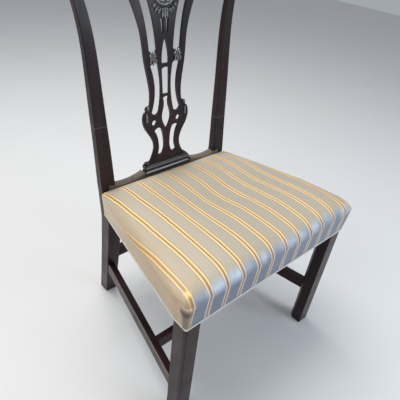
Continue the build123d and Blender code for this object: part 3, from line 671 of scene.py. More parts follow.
@dataclass
class StuffedSeat:
    """The seat's stuffing, striped cover and gimp."""

    plan: SeatPlan
    silk: Material
    hair: Material
    braid: Material
    skin: float = 0.0019
    bulge: float = 0.0054
    hem: float = 0.3642
    edge: float = 0.431
    rise: float = 0.022
    dome: float = 0.010
    fall: float = 0.0055
    back_drop: float = 0.62
    side_arch: float = 0.009
    side_swell: float = 0.008
    squareness: int = 40
    ear: float = 0.0022
    ear_reach: float = 0.024
    lift: float = 0.006
    hem_corner: float = 0.004
    rim_corner: float = 0.007
    thickness: float = 0.0012
    wadding: float = 0.0056
    turn_under: float = 0.015
    clear: float = 0.001
    fan: float = 0.095
    right_fan: float = 0.035
    skew: float = 0.13
    skew_start: float = 0.12
    bow: float = 0.0148
    settle_cap: float = 0.003
    settle_frames: int = 14
    gimp_half: float = 0.0025

    def backwards(self, y: np.ndarray) -> np.ndarray:
        """Gives how far back places lie, as shares of the seat's depth."""
        return np.clip((y - self.plan.front_y) / self.plan.depth, 0, 1)

    def arch(self, y: np.ndarray) -> np.ndarray:
        """Gives how full the sides are at places along them, most a third of the way back."""
        return np.sin(math.pi * self.backwards(y) ** 0.6)

    def crown(self, xy: np.ndarray) -> np.ndarray:
        """Gives the height of the crowned top over places on the plan.

        Args:
            xy: The places.

        Returns:
            The heights.
        """
        x, y = xy.T
        half_depth = self.plan.depth / 2
        far = self.backwards(y)
        full = self.arch(y)
        half = self.plan.half_width(y, self.bulge) + self.side_swell * full
        a = np.clip(np.abs(x) / half, 0, 1)
        b = np.clip(np.abs(y - self.plan.middle[1]) / (half_depth + self.bulge), 0, 1)
        roll = np.clip(1 - (a**self.squareness + b**self.squareness) ** 0.2, 0, None) ** 0.42
        right = np.clip(x / half, 0, 1) * np.clip((self.plan.middle[1] - y) / half_depth, 0, 1)
        rim = self.edge - self.fall * far + self.side_arch * full * a**3 + self.lift * right**6
        top = self.rise * (1 - self.back_drop * far**2) * roll
        return rim + top + self.dome * (1 - a**2) * (1 - b**2)

    def swollen(self, grow: float, corner: float, share: float) -> np.ndarray:
        """Draws the seat's outline with its full sides and its drawn-out front corners.

        Args:
            grow: How far it lies outside the frame.
            corner: The radius of its corners.
            share: How much of the fullness it has.

        Returns:
            The points of the closed outline.
        """
        flat = self.plan.outline(grow, corner)
        half = self.plan.half_width(flat[:, 1], grow)
        beside = np.clip((np.abs(flat[:, 0]) / half - 0.9) / 0.1, 0, 1)
        flat[:, 0] += np.sign(flat[:, 0]) * self.side_swell * self.arch(flat[:, 1]) * beside * share
        away_x = (np.abs(flat[:, 0]) - self.plan.front_half) / self.ear_reach
        away_y = (flat[:, 1] - self.plan.front_y) / self.ear_reach
        tip = self.ear * share * np.exp(-(away_x**2) - away_y**2)
        flat[:, 0] += np.sign(flat[:, 0]) * tip
        flat[:, 1] -= tip
        return flat

    def rings(self) -> tuple[list[np.ndarray], int]:
        """Lays out the cover as rings from its hem to the middle of its top.

        Returns:
            The rings of points, and the number of the one at the cover's edge.
        """
        rings = []
        rim = self.swollen(self.bulge, self.rim_corner, 1.0)
        edge = self.crown(rim)
        shares = [*np.linspace(0, 0.94, 18), 0.975, 1.0]
        for share in shares:
            full = share**1.2
            corner = self.hem_corner + (self.rim_corner - self.hem_corner) * max(0.0, share * 9 - 8)
            flat = self.swollen(self.skin + (self.bulge - self.skin) * full, corner, full)
            rings.append(np.column_stack([flat, self.hem + (edge - self.hem) * share]))
        insets = [0.0015, 0.004, 0.0075, 0.012, 0.018, 0.025, 0.034, 0.045, 0.058, 0.074, 0.094, 0.12]
        for scale in [1 - inset for inset in insets] + list(np.linspace(0.85, 0.04, 20)):
            flat = self.plan.middle + (rim - self.plan.middle) * scale
            rings.append(np.column_stack([flat, self.crown(flat)]))
        return rings, len(shares) - 1

    def regions(self, count: int) -> list[Region]:
        """Tells which part of the cover each column of faces belongs to.

        Args:
            count: How many columns there are.

        Returns:
            The regions, column by column.
        """
        fold, back = self.plan.fold_column, self.plan.back_column
        ends = [fold, back, count - back, count - fold, count]
        order = [Region.FRONT, Region.RIGHT, Region.BACK, Region.LEFT, Region.FRONT]
        return [next(region for end, region in zip(ends, order) if column < end) for column in range(count)]

    def cloth_map(self, rings: list[np.ndarray], region: Region) -> np.ndarray:
        """Finds where each point lies on the flat cloth, as the cloth hangs in one region.

        Args:
            rings: The cover's rings, hem first.
            region: The region whose fall the cloth follows.

        Returns:
            The flat places, ring by ring and column by column.
        """
        lean = self.plan.side_angle
        falls = {
            Region.FRONT: (0.0, -1.0),
            Region.RIGHT: (math.cos(lean), math.sin(lean)),
            Region.BACK: (0.0, 1.0),
            Region.LEFT: (-math.cos(lean), math.sin(lean)),
        }
        fall = np.array(falls[region])
        flat = np.zeros((len(rings), len(rings[0]), 2))
        flat[-1] = rings[-1][:, :2]
        for index in range(len(rings) - 2, -1, -1):
            step = rings[index] - rings[index + 1]
            out = np.clip(step[:, :2] @ fall, 0, None)
            extra = np.sqrt(out**2 + step[:, 2] ** 2) - out
            flat[index] = flat[index + 1] + step[:, :2] + extra[:, None] * fall
        return flat

    def wrap_corner(self, flat: np.ndarray, rings: list[np.ndarray], below: int) -> None:
        """Carries the front's cloth round the corners as far as the pleats.

        Args:
            flat: The front region's flat places, changed in place.
            rings: The cover's rings.
            below: The number of the ring at the cover's edge.
        """
        start = self.plan.front_column
        for index in range(below + 1):
            ring = rings[index][:, :2]
            travel = 0.0
            for column in range(start + 1, self.plan.fold_column + 1):
                travel += float(np.linalg.norm(ring[column] - ring[column - 1]))
                u = flat[index, start, 0] + travel
                v = flat[index, start, 1]
                flat[index, column] = (u, v)
                flat[index, len(ring) - column] = (-u, v)

    def pleat(self, ring: np.ndarray, hem: np.ndarray, side: int, fade: float) -> None:
        """Lays the front's cloth over the side's at one corner.

        Args:
            ring: The ring, changed in place.
            hem: The hem's ring.
            side: 1 for the right corner, -1 for the left one.
            fade: How much of the pleat shows.
        """
        count = len(ring)
        corner, fold = self.plan.corner_column, self.plan.fold_column
        for column in range(corner, fold + 1):
            share = (column - corner) / (fold - corner)
            ring[(column * side) % count, 0] += side * 0.0016 * share**2 * fade
        for column in range(fold + 1, fold + 14):
            spot = ring[(column * side) % count]
            away = abs(spot[1] - hem[(fold * side) % count, 1])
            wave = math.sin(away / 0.0032) * math.exp(-away / 0.016) * 0.0007
            spot[0] -= side * (math.exp(-away / 0.004) * 0.0009 - wave) * fade

    def pucker(self, spot: np.ndarray, share: float) -> None:
        """Pulls one point of the skirt in and out, as nails and stuffing do.

        Args:
            spot: The point, changed in place.
            share: How far it lies from the hem to the edge.
        """
        pull = lump(spot, 34, 3.1) * 0.0009 * (1 - share) ** 2
        swell = lump(spot, 14, spot[2] * 20) * 0.0008 * math.sin(math.pi * share)
        behind = abs(spot[1] - self.plan.front_y)
        outwards = math.copysign(math.cos(self.plan.side_angle), spot[0])
        spot[0] += outwards * (pull + swell) * (behind > 0.004)
        spot[1] -= (pull + swell) * (behind <= 0.007)

    def disturb(self, rings: list[np.ndarray], below: int) -> None:
        """Adds the pleats, puckers and unevenness of a hand-stuffed seat.

        Args:
            rings: The cover's rings, changed in place.
            below: The number of the ring at the cover's edge.
        """
        for index, ring in enumerate(rings):
            above = max(0, index - below)
            for side in (1, -1):
                self.pleat(ring, rings[0], side, max(0.0, 1 - above / 3))
            for spot in ring:
                if above:
                    lumps = lump(spot, 9, 1.7) * 0.0016 + lump(spot, 26, 5.2) * 0.0006
                    spot[2] += lumps * min(1.0, above / 9)
                else:
                    self.pucker(spot, index / below)

    def woven_place(self, u: float, v: float) -> Spot:
        """Finds a place's stripe, which the cloth's stretching has drawn out of true.

        Args:
            u: The place across the flat cloth.
            v: The place along it.

        Returns:
            The place on the woven cloth.
        """
        far = (v - self.plan.front_y) / self.plan.depth
        rightwards = min(1.0, max(0.0, (u + 0.15) / 0.07))
        across = u * (1 + (self.fan + (self.right_fan - self.fan) * rightwards) * far)
        if across < -self.skew_start:
            across += self.skew * min(1.0, max(0.0, far - 0.07)) * (-across - self.skew_start)
        bowed = min(1.0, max(0.0, (u + 0.15) / 0.13))
        across += bowed * (self.bow * math.exp(-(((v + 0.035) / 0.085) ** 2)) + 0.003 * (1 - far))
        return across, v

    def cover(self) -> Piece:
        """Makes the striped cover with its flat cloth map.

        Returns:
            The cover.
        """
        rings, below = self.rings()
        count = len(rings[0])
        last = self.plan.last_column
        regions = self.regions(count)
        maps = {region: self.cloth_map(rings, region) for region in Region}
        self.wrap_corner(maps[Region.FRONT], rings, below)
        self.disturb(rings, below)
        numbers = -np.ones((len(rings), count), dtype=int)
        points: list[np.ndarray] = []
        for index, ring in enumerate(rings):
            for column in range(count):
                if index >= below - 1 or column <= last or column >= count - last:
                    numbers[index, column] = len(points)
                    points.append(ring[column])
        faces: list[Face] = []
        cloth: list[np.ndarray] = []
        for index in range(len(rings) - 1):
            for column in range(count):
                beside = (column + 1) % count
                corners = [(index, column), (index, beside), (index + 1, beside), (index + 1, column)]
                face = tuple(int(numbers[spot]) for spot in corners)
                if min(face) >= 0:
                    faces.append(face)
                    cloth += [maps[regions[column]][spot] for spot in corners]
        edges = [maps[region][0] for region in regions]
        self.add_flaps(rings[0], numbers[0], regions, edges, points, faces, cloth)
        top = len(points)
        points.append(rings[-1].mean(axis=0))
        inmost = maps[Region.FRONT][-1]
        for column in range(count):
            beside = (column + 1) % count
            faces.append((int(numbers[-1, column]), int(numbers[-1, beside]), top))
            cloth += [inmost[column], inmost[beside], points[top][:2]]
        piece = finished("striped_seat_cover", points, faces, self.silk)
        layer = piece.data.uv_layers.new(name="cloth")
        for loop, (u, v) in zip(layer.data, cloth):
            loop.uv = self.woven_place(float(u), float(v))
        self.settle(piece)
        give_thickness(piece, self.thickness, -1.0)
        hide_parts("seat_cover")
        return piece

    def settle(self, piece: Piece) -> None:
        """Lets the cover swell over the stuffing by a short cloth simulation, its lower part held.

        Args:
            piece: The cover, changed in place.
        """
        mesh = piece.data
        before = np.array([vert.co for vert in mesh.vertices])
        held = piece.vertex_groups.new(name="held")
        for vert, spot in zip(mesh.vertices, before):
            held.add([vert.index], float(np.clip((0.434 - spot[2]) / 0.03, 0, 1)), "REPLACE")
        cloth = piece.modifiers.new("settle", "CLOTH")
        for name, value in SETTLING.items():
            setattr(cloth.settings, name, value)
        cloth.settings.effector_weights.gravity = 0
        cloth.collision_settings.use_collision = False
        scene = bpy.context.scene
        for number in range(self.settle_frames):
            scene.frame_set(number + 1)
        seen = piece.evaluated_get(bpy.context.evaluated_depsgraph_get())
        moved = np.array([vert.co for vert in seen.data.vertices]) - before
        piece.modifiers.remove(cloth)
        piece.vertex_groups.remove(held)
        scene.frame_set(1)
        length = np.linalg.norm(moved, axis=1)
        LOG.info("cover settled by %.1f mm at most", 1000 * float(length.max()))
        moved *= np.minimum(1.0, self.settle_cap / np.maximum(length, 1e-9))[:, None]
        corner = np.array([self.plan.front_half, self.plan.front_y])
        away = np.linalg.norm(np.column_stack([np.abs(before[:, 0]), before[:, 1]]) - corner, axis=1)
        moved *= np.clip((away - 0.03) / 0.06, 0, 1)[:, None]
        for vert, spot in zip(mesh.vertices, before + moved):
            vert.co = spot

    def add_flaps(
        self,
        hem: np.ndarray,
        numbers: np.ndarray,
        regions: list[Region],
        edges: list[np.ndarray],
        points: list[np.ndarray],
        faces: list[Face],
        cloth: list[np.ndarray],
    ) -> None:
        """Turns the hem under the rails between the legs and posts.

        Args:
            hem: The hem's ring.
            numbers: The numbers of its points.
            regions: The region of each column.
            edges: The hem's flat places, as each column's region has them.
            points: The cover's points, added to.
            faces: Its faces, added to.
            cloth: Their flat places, added to.
        """
        count = len(hem)
        plan = self.plan
        inner = plan.outline(-self.turn_under, self.hem_corner)
        side_start = plan.front_y + plan.leg + self.clear
        side_end = plan.front_y + plan.depth - plan.post_lap - self.clear
        under: dict[int, int] = {}
        for column, (x, y, _) in enumerate(hem):
            in_front = abs(x) < plan.front_half - plan.leg - self.clear and y < plan.front_y
            on_skirt = column <= plan.last_column or column >= count - plan.last_column
            if in_front or (side_start < y < side_end and on_skirt):
                under[column] = len(points)
                points.append(np.array([*inner[column], self.hem + 0.0001]))
        falls = {Region.FRONT: (0, -1), Region.RIGHT: (1, 0), Region.LEFT: (-1, 0)}
        for column in under:
            beside = (column + 1) % count
            if beside in under and regions[column] is regions[beside]:
                faces.append((under[column], under[beside], int(numbers[beside]), int(numbers[column])))
                edge = edges[column]
                reach = np.array(falls[regions[column]]) * self.turn_under
                cloth += [edge[column] + reach, edge[beside] + reach, edge[beside], edge[column]]

    def stuffing(self) -> Piece:
        """Makes the crowned hair pad under the cover.

        Returns:
            The pad.
        """
        middle = self.plan.middle
        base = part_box("hair_pad")[0][2]
        low = self.plan.outline(0.0, 0.006)[::3]
        wide = self.swollen(self.bulge - self.wadding, self.rim_corner, 0.9)[::3]
        rings = [np.column_stack([low, np.full(len(low), base)])]
        rings.append(np.column_stack([wide, np.maximum(base + 0.0004, self.crown(wide) - self.wadding)]))
        for scale in (0.996, 0.988, 0.975, 0.955, 0.92, 0.87, 0.8, 0.7, 0.58, 0.45, 0.3, 0.15):
            flat = middle + (wide - middle) * scale
            ring = np.column_stack([flat, np.maximum(base + 0.0005, self.crown(flat) - self.wadding)])
            for spot in ring:
                spot[2] += lump(spot, 9, 1.7) * 0.0014 * min(1.0, (1 - scale) * 8)
            rings.append(ring)
        count = len(low)
        points = np.concatenate(rings)
        faces = grid_faces(len(rings), count)
        faces.append(tuple(range(count))[::-1])
        faces.append(tuple(range(len(points) - count, len(points))))
        piece = finished("seat_stuffing", points, faces, self.hair)
        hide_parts("hair_pad")
        return piece

    def gimp(self) -> Piece:
        """Makes the narrow braid along the bottom of the cover.

        Returns:
            The braid.
        """
        last = self.plan.last_column
        loop = self.plan.outline(self.skin, self.hem_corner)
        path = np.concatenate([loop[len(loop) - last:], loop[: last + 1]])
        steps = np.linalg.norm(np.diff(path, axis=0), axis=1)
        travel = np.concatenate([[0], np.cumsum(steps)])
        places = np.arange(0, travel[-1], 0.0012)
        run = np.column_stack([np.interp(places, travel, path[:, axis]) for axis in (0, 1)])
        along = np.gradient(run, axis=0)
        along /= np.linalg.norm(along, axis=1)[:, None]
        out = np.column_stack([along[:, 1], -along[:, 0]])
        levels = [-1.0, -1.0, -0.6, -0.1, 0.1, 0.6, 1.0, 1.0]
        prouds = [0.0001, 0.0009, 0.0013, 0.0009, 0.0009, 0.0013, 0.0009, 0.0001]
        points = []
        for index, spot in enumerate(run):
            wave = math.sin(places[index] * 2 * math.pi / 0.0042)
            for proud, level in zip(prouds, levels):
                bump = proud + (0.00022 * wave * math.copysign(1, level) if proud > 0.0005 else 0.0)
                rise = self.gimp_half * level * (1 + 0.05 * wave)
                points.append((*(spot + out[index] * bump), self.hem + self.gimp_half + rise))
        width = len(levels)
        faces = turned(grid_faces(len(run), width))
        faces.append(tuple(range(width)))
        faces.append(tuple(range(len(points) - width, len(points)))[::-1])
        piece = finished("gimp_braid", points, faces, self.braid)
        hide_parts("gimp")
        return piece


@dataclass
class SeatFoundation:
    """The webbing, hessian and dust cover under the stuffing."""

    plan: SeatPlan
    jute: Material
    sacking: Material
    linen: Material
    strap_width: float = 0.050
    strap_thickness: float = 0.0012
    strap_steps: int = 90
    lift: float = 0.0014
    lengthways_pitch: float = 0.092
    crossways_first: float = 0.104
    crossways_pitch: float = 0.098
    cloth_thickness: float = 0.0006
    hessian_rings: int = 16
    inset: float = 0.006
    clear: float = 0.001

    def strap(
        self, name: str, ends: tuple[float, float], at: float, over: list[float], lengthways: bool
    ) -> Piece:
        """Weaves one strap of webbing.

        Args:
            name: The strap's name.
            ends: Where it starts and ends along its run.
            at: Where its middle lies across its run.
            over: The places along its run where it passes over another strap.
            lengthways: Whether it runs from front to back.

        Returns:
            The strap.
        """
        run = np.linspace(ends[0], ends[1], self.strap_steps)
        height = np.zeros(len(run))
        for place in over:
            away = np.clip((np.abs(run - place) - 0.026) / 0.013, 0, 1)
            height = np.maximum(height, 0.5 + 0.5 * np.cos(np.pi * away))
        low = self.plan.rail_top + self.strap_thickness / 2 + 0.0001
        shares = [-1, -0.92, -0.5, 0, 0.5, 0.92, 1]
        points = []
        for place, rise in zip(run, height):
            z = low + self.lift * rise
            for share in shares:
                across = at + share * self.strap_width / 2
                points.append((across, place, z) if lengthways else (place, across, z))
        faces = grid_faces(len(run), len(shares), closed=False)
        if not lengthways:
            faces = [face[::-1] for face in faces]
        piece = finished(name, points, faces, self.jute)
        give_thickness(piece, self.strap_thickness * 0.92, 0.0)
        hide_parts("lengthways_webbing" if lengthways else "crossways_webbing")
        return piece

    def webbing(self) -> list[Piece]:
        """Weaves all the straps.

        Returns:
            The straps, those from front to back first.
        """
        plan = self.plan
        across = [(i - 1.5) * self.lengthways_pitch for i in range(4)]
        along = [plan.front_y + self.crossways_first + j * self.crossways_pitch for j in range(3)]
        ends = (plan.front_y + 0.008, plan.front_y + plan.depth - 0.0003)
        straps = []
        for i, x in enumerate(across):
            over = [y for j, y in enumerate(along) if (i + j) % 2 == 0]
            straps.append(self.strap(f"lengthways_strap_{i + 1}", ends, x, over, True))
        for j, y in enumerate(along):
            reach = float(plan.half_width(np.array([y + self.strap_width / 2]), -0.008)[0])
            over = [x for i, x in enumerate(across) if (i + j) % 2 == 1]
            straps.append(self.strap(f"crossways_strap_{j + 1}", (-reach, reach), y, over, False))
        return straps

    def hessian(self) -> Piece:
        """Lays the hessian over the webbing.

        Returns:
            The hessian.
        """
        low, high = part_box("hessian")
        rim = self.plan.outline(-self.inset, 0.004)[::4]
        middle = self.plan.middle
        level = (low[2] + high[2]) / 2
        points = []
        for scale in np.linspace(1, 0.05, self.hessian_rings):
            for spot in middle + (rim - middle) * scale:
                points.append((*spot, level + lump(spot, 60, 0.3) * 0.00015))
        faces = grid_faces(self.hessian_rings, len(rim))
        faces.append(tuple(range(len(points) - len(rim), len(points))))
        piece = finished("hessian_cloth", points, faces, self.sacking)
        give_thickness(piece, self.cloth_thickness, 0.0)
        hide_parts("hessian")
        return piece

    def dust_cover(self) -> Piece:
        """Stretches the black cloth under the seat, cut round the legs and posts.

        Returns:
            The dust cover.
        """
        plan = self.plan
        low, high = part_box("dust_cover")
        mesh = bmesh.new()
        bmesh.ops.create_grid(mesh, x_segments=56, y_segments=44, size=1.0)
        for vert in mesh.verts:
            vert.co.x *= high[0]
            vert.co.y = (low[1] + high[1]) / 2 + vert.co.y * (high[1] - low[1]) / 2
            vert.co.z = high[2]
        leg_y = plan.front_y + plan.leg
        leg_inner = plan.front_half - plan.leg - self.clear
        leg_back = leg_y + self.clear
        post_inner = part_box("rear_stretcher")[1][0] - 0.008
        post_front = plan.front_y + plan.depth - plan.post_lap - self.clear
        edge = plan.front_half - self.inset
        slope = math.tan(plan.side_angle)
        cuts = []
        for side in (-1, 1):
            cuts.append(((side * edge, leg_y, 0), (side, slope, 0)))
            cuts.append(((side * leg_inner, 0, 0), (side, 0, 0)))
            cuts.append(((side * post_inner, 0, 0), (side, 0, 0)))
        cuts += [((0, y, 0), (0, 1, 0)) for y in (leg_back, post_front)]
        for point, normal in cuts:
            geometry = mesh.verts[:] + mesh.edges[:] + mesh.faces[:]
            bmesh.ops.bisect_plane(mesh, geom=geometry, plane_co=point, plane_no=normal)
        gone = []
        for face in mesh.faces:
            x, y, _ = face.calc_center_median()
            past = abs(x) > edge - max(0.0, y - plan.front_y - plan.leg) * slope
            if past or (y < leg_back and abs(x) > leg_inner) or (y > post_front and abs(x) > post_inner):
                gone.append(face)
        bmesh.ops.delete(mesh, geom=gone, context="FACES")
        bmesh.ops.recalc_face_normals(mesh, faces=mesh.faces[:])
        for vert in mesh.verts:
            a = min(1.0, abs(vert.co.x) / 0.23)
            b = min(1.0, abs(vert.co.y - plan.middle[1]) / 0.19)
            sag = 0.005 * (1 - a**2) * (1 - b**2)
            vert.co.z -= sag + abs(lump(vert.co, 22, 7.7) * 0.0004) * (a < 1) * (b < 1)
        mesh.verts.index_update()
        points = [tuple(vert.co) for vert in mesh.verts]
        faces = [tuple(vert.index for vert in face.verts) for face in mesh.faces]
        mesh.free()
        piece = finished("dust_cover_cloth", points, faces, self.linen)
        give_thickness(piece, self.cloth_thickness, -1.0)
        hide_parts("dust_cover")
        return piece


@dataclass(frozen=True)
class LeafCut:
    """A leaf to carve, as drawn on the right half of the splat's face."""

    name: str
    foot: Spot
    tip: Spot
    width: float
    lobes: int
    proud: float


LEAVES = (
    LeafCut("drop_1", (0.0290, 0.2625), (0.0290, 0.2515), 0.0078, 1, 0.0052),
    LeafCut("drop_2", (0.0365, 0.2625), (0.0365, 0.2475), 0.0078, 1, 0.0052),
    LeafCut("drop_3", (0.0440, 0.2625), (0.0440, 0.2515), 0.0078, 1, 0.0052),
    LeafCut("inner_curl", (0.0120, 0.3690), (0.0195, 0.3580), 0.0095, 2, 0.0045),
    LeafCut("middle_curl", (0.0190, 0.3720), (0.0270, 0.3630), 0.0095, 2, 0.0045),
    LeafCut("outer_curl", (0.0260, 0.3790), (0.0335, 0.3720), 0.0095, 2, 0.0045),
    LeafCut("shoulder_leaf", (0.0560, 0.1530), (0.0575, 0.1420), 0.0080, 1, 0.0030),
    LeafCut("shoulder_tip", (0.0610, 0.1120), (0.0610, 0.1360), 0.0090, 1, 0.0026),
    LeafCut("husk_petal", (0.0062, 0.3700), (0.0066, 0.3478), 0.0090, 1, 0.0046),
)
MIDDLE_PETAL = LeafCut("husk_petal", (0.0, 0.3700), (0.0, 0.3445), 0.0100, 1, 0.0058)


@dataclass
class SplatCarving:
    """The carved rosettes, husks and leaves on the front of the splat."""

    wood: Material
    rake: float = 5.9
    face_y: float = 0.4167
    foot_z: float = 0.460
    sunk: float = -0.0005
    ring_middle: Spot = (0.0, 0.403)
    ring_radii: tuple[float, float] = (0.0213, 0.0318)
    ring_proud: float = 0.0058
    rosette_middle: Spot = (0.0365, 0.2690)
    rosette_radius: float = 0.0118

    def __post_init__(self) -> None:
        """Finds the plane of the splat's face."""
        lean = math.radians(self.rake)
        front_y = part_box("right_front_leg")[0][1]
        self.origin = np.array([0.0, front_y + self.face_y, self.foot_z])
        self.up = np.array([0.0, math.sin(lean), math.cos(lean)])
        self.out = np.array([0.0, -math.cos(lean), math.sin(lean)])

    def at(self, x: float, rise: float, proud: float) -> np.ndarray:
        """Gives a place in the row frame, from where it lies on the splat's face and how proud of it."""
        return self.origin + np.array([x, 0.0, 0.0]) + self.up * rise + self.out * proud

    def rosette(self, word: str, side: int, rings: int = 14, spokes: int = 72) -> Piece:
        """Carves a flower of six deep petals round a button.

        Args:
            word: The first word of its name.
            side: 1 on the right half of the splat, -1 on the left.
            rings: How many rings of points it has.
            spokes: How many points each ring has.

        Returns:
            The flower.
        """
        middle_x, middle_rise = side * self.rosette_middle[0], self.rosette_middle[1]
        points = [self.at(middle_x, middle_rise, self.petal_height(0.0, 1.0))]
        for ring in range(1, rings + 1):
            share = ring / rings
            for spoke in range(spokes):
                angle = 2 * math.pi * spoke / spokes
                petal = abs(math.cos(3 * angle))
                far = self.rosette_radius * (0.80 + 0.20 * petal) * share
                proud = self.petal_height(share, petal) if ring < rings else self.sunk
                spot = (middle_x + far * math.cos(angle), middle_rise + far * math.sin(angle))
                points.append(self.at(*spot, proud))
        faces = [(0, 1 + spoke, 1 + (spoke + 1) % spokes) for spoke in range(spokes)]
        faces += turned(grid_faces(rings, spokes, first=1))
        faces.append(tuple(range(len(points) - spokes, len(points)))[::-1])
        return finished(f"{word}_rosette", points, faces, self.wood)

    def petal_height(self, share: float, petal: float) -> float:
        """Gives the height of a rosette's petals and button.

        Args:
            share: The share of the way from the middle to the rim.
            petal: 0 between two petals to 1 on the middle of one.

        Returns:
            The height.
        """
        body = 0.0060 * (0.30 + 0.70 * petal**0.7)
        body *= math.sin(math.pi * min(1.0, 0.22 + 0.78 * share)) ** 0.6
        button = 0.0048 * max(0.0, 1 - (share / 0.26) ** 2)
        return 0.0008 + body * min(1.0, (1 - share) * 5) + button

    def ring(self, steps: int = 96, spans: int = 12) -> Piece:
        """Carves the rounded ring round the splat's upper opening.

        Args:
            steps: How many sections it has.
            spans: How many faces span a section.

        Returns:
            The ring.
        """
        inner, outer = self.ring_radii
        points = []
        for step in range(steps):
            angle = 2 * math.pi * step / steps
            for span in range(spans + 1):
                share = span / spans
                far = inner + (outer - inner) * share
                rise = math.sin(math.pi * share) ** 0.7 * (0.78 + 0.22 * abs(math.cos(2 * math.pi * share)))
                x = self.ring_middle[0] + far * math.cos(angle)
                up = self.ring_middle[1] + far * math.sin(angle)
                points.append(self.at(x, up, self.sunk + self.ring_proud * rise))
        faces = grid_faces(steps + 1, spans + 1)
        faces = [tuple(number % len(points) for number in face) for face in faces]
        return finished("carved_ring", points, faces, self.wood)

    def leaf(self, word: str, side: int, cut: LeafCut, steps: int = 40, spans: int = 16) -> Piece:
        """Carves a ribbed leaf from its foot to its tip.

        Args:
            word: The first word of its name.
            side: 1 on the right half of the splat, -1 on the left.
            cut: The leaf's drawing.
            steps: How many faces run along it.
            spans: How many faces run across it.

        Returns:
            The leaf.
        """
        start, end = (np.array([side * x, rise]) for x, rise in (cut.foot, cut.tip))
        length = float(np.linalg.norm(end - start))
        along = (end - start) / length
        beside = np.array([-along[1], along[0]])
        points = []
        for step in range(steps + 1):
            share = step / steps
            body = math.sin(math.pi * min(1.0, 0.12 + 0.88 * share)) ** 0.75
            lobe = 1 - 0.22 * abs(math.sin(math.pi * cut.lobes * share)) if 0.05 < share < 0.95 else 1.0
            half = max(0.0002, cut.width / 2 * body * lobe)
            for span in range(spans + 1):
                across = 2 * span / spans - 1
                flat = start + along * length * share + beside * half * across
                vein = 1 - 0.35 * math.exp(-((across / 0.12) ** 2))
                rib = 0.8 + 0.2 * math.cos(2 * math.pi * cut.lobes * (share - 0.25 * abs(across)))
                dome = (1 - across**2) ** 0.5 * math.sin(math.pi * min(1.0, 0.15 + 0.85 * share)) ** 0.4
                edge = span in (0, spans) or step in (0, steps)
                points.append(self.at(*flat, self.sunk if edge else 0.0006 + cut.proud * dome * vein * rib))
        row = spans + 1
        faces = turned(grid_faces(steps + 1, row, closed=False))
        rim = [step * row for step in range(steps)] + [steps * row + span for span in range(spans)]
        rim += [step * row + spans for step in range(steps, 0, -1)] + list(range(spans, 0, -1))
        faces.append(tuple(rim[::-1]))
        return finished(f"{word}_{cut.name}", points, faces, self.wood)

    def build(self) -> list[Piece]:
        """Carves every ornament of the splat.

        Returns:
            The ornaments.
        """
        made = [self.ring()]
        for side, word in ((-1, "left"), (1, "right")):
            made.append(self.rosette(word, side))
            made += [self.leaf(word, side, cut) for cut in LEAVES]
        made.append(self.leaf("middle", 1, MIDDLE_PETAL))
        return made


@dataclass
class Joinery:
    """The timber frame and its fixings, which keep their CAD shapes and get their finishes."""

    nail: Place = (-0.1105, 0.1692, 0.4320)
    arris: tuple[float, float, float] = (0.2250, 0.1928, 0.1480)
    left_mend: float = 0.593
    right_mend: float = 0.538
    rail_tones: tuple[Colour, ...] = ((0.098, 0.077, 0.061), (0.212, 0.171, 0.137), (0.26, 0.22, 0.18))

    def dress(self, nodes: Sequence[str], finish: Mahogany | Beech | BluedSteel) -> None:
        """Gives CAD nodes a finish.

        Args:
            nodes: The nodes' names.
            finish: The finish.
        """
        material = finish.material()
        for name in nodes:
            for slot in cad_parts[name].material_slots:
                slot.material = material
            LOG.info("%s: %s", name, material.name)

    def build(self) -> None:
        """Dresses every node of the frame."""
        self.dress(["left_front_leg", "right_front_leg", "splat"], Mahogany(Grain.UPRIGHT))
        self.dress(["crest_rail", "cross_stretcher", "rear_stretcher"], Mahogany(Grain.ACROSS))
        stretcher = Mahogany(Grain.LENGTHWAYS, arris=self.arris)
        self.dress(["left_side_stretcher", "right_side_stretcher"], stretcher)
        self.dress(["left_back_post"], Mahogany(Grain.UPRIGHT, "left_post", mend=self.left_mend))
        self.dress(["right_back_post"], Mahogany(Grain.UPRIGHT, "right_post", mend=self.right_mend))
        self.dress(["back_seat_rail"], Mahogany(Grain.ACROSS, "worn_rail", *self.rail_tones, nail=self.nail))
        shine = {"sheen": (0.14, 0.26), "shine": 0.4, "polish": 0.4, "polish_index": 1.7}
        self.dress(["splat_shoe"], Mahogany(Grain.ACROSS, "polished_shoe", **shine))
        blocks = [f"{side}_{end}_corner_block" for side in ("left", "right") for end in ("front", "back")]
        self.dress(["front_seat_rail", *blocks], Beech(Grain.ACROSS))
        self.dress(["left_side_rail", "right_side_rail"], Beech(Grain.LENGTHWAYS))
        self.dress(["shoe_brads", "corner_block_screws", "webbing_tacks", "dust_cover_tacks"], BluedSteel())


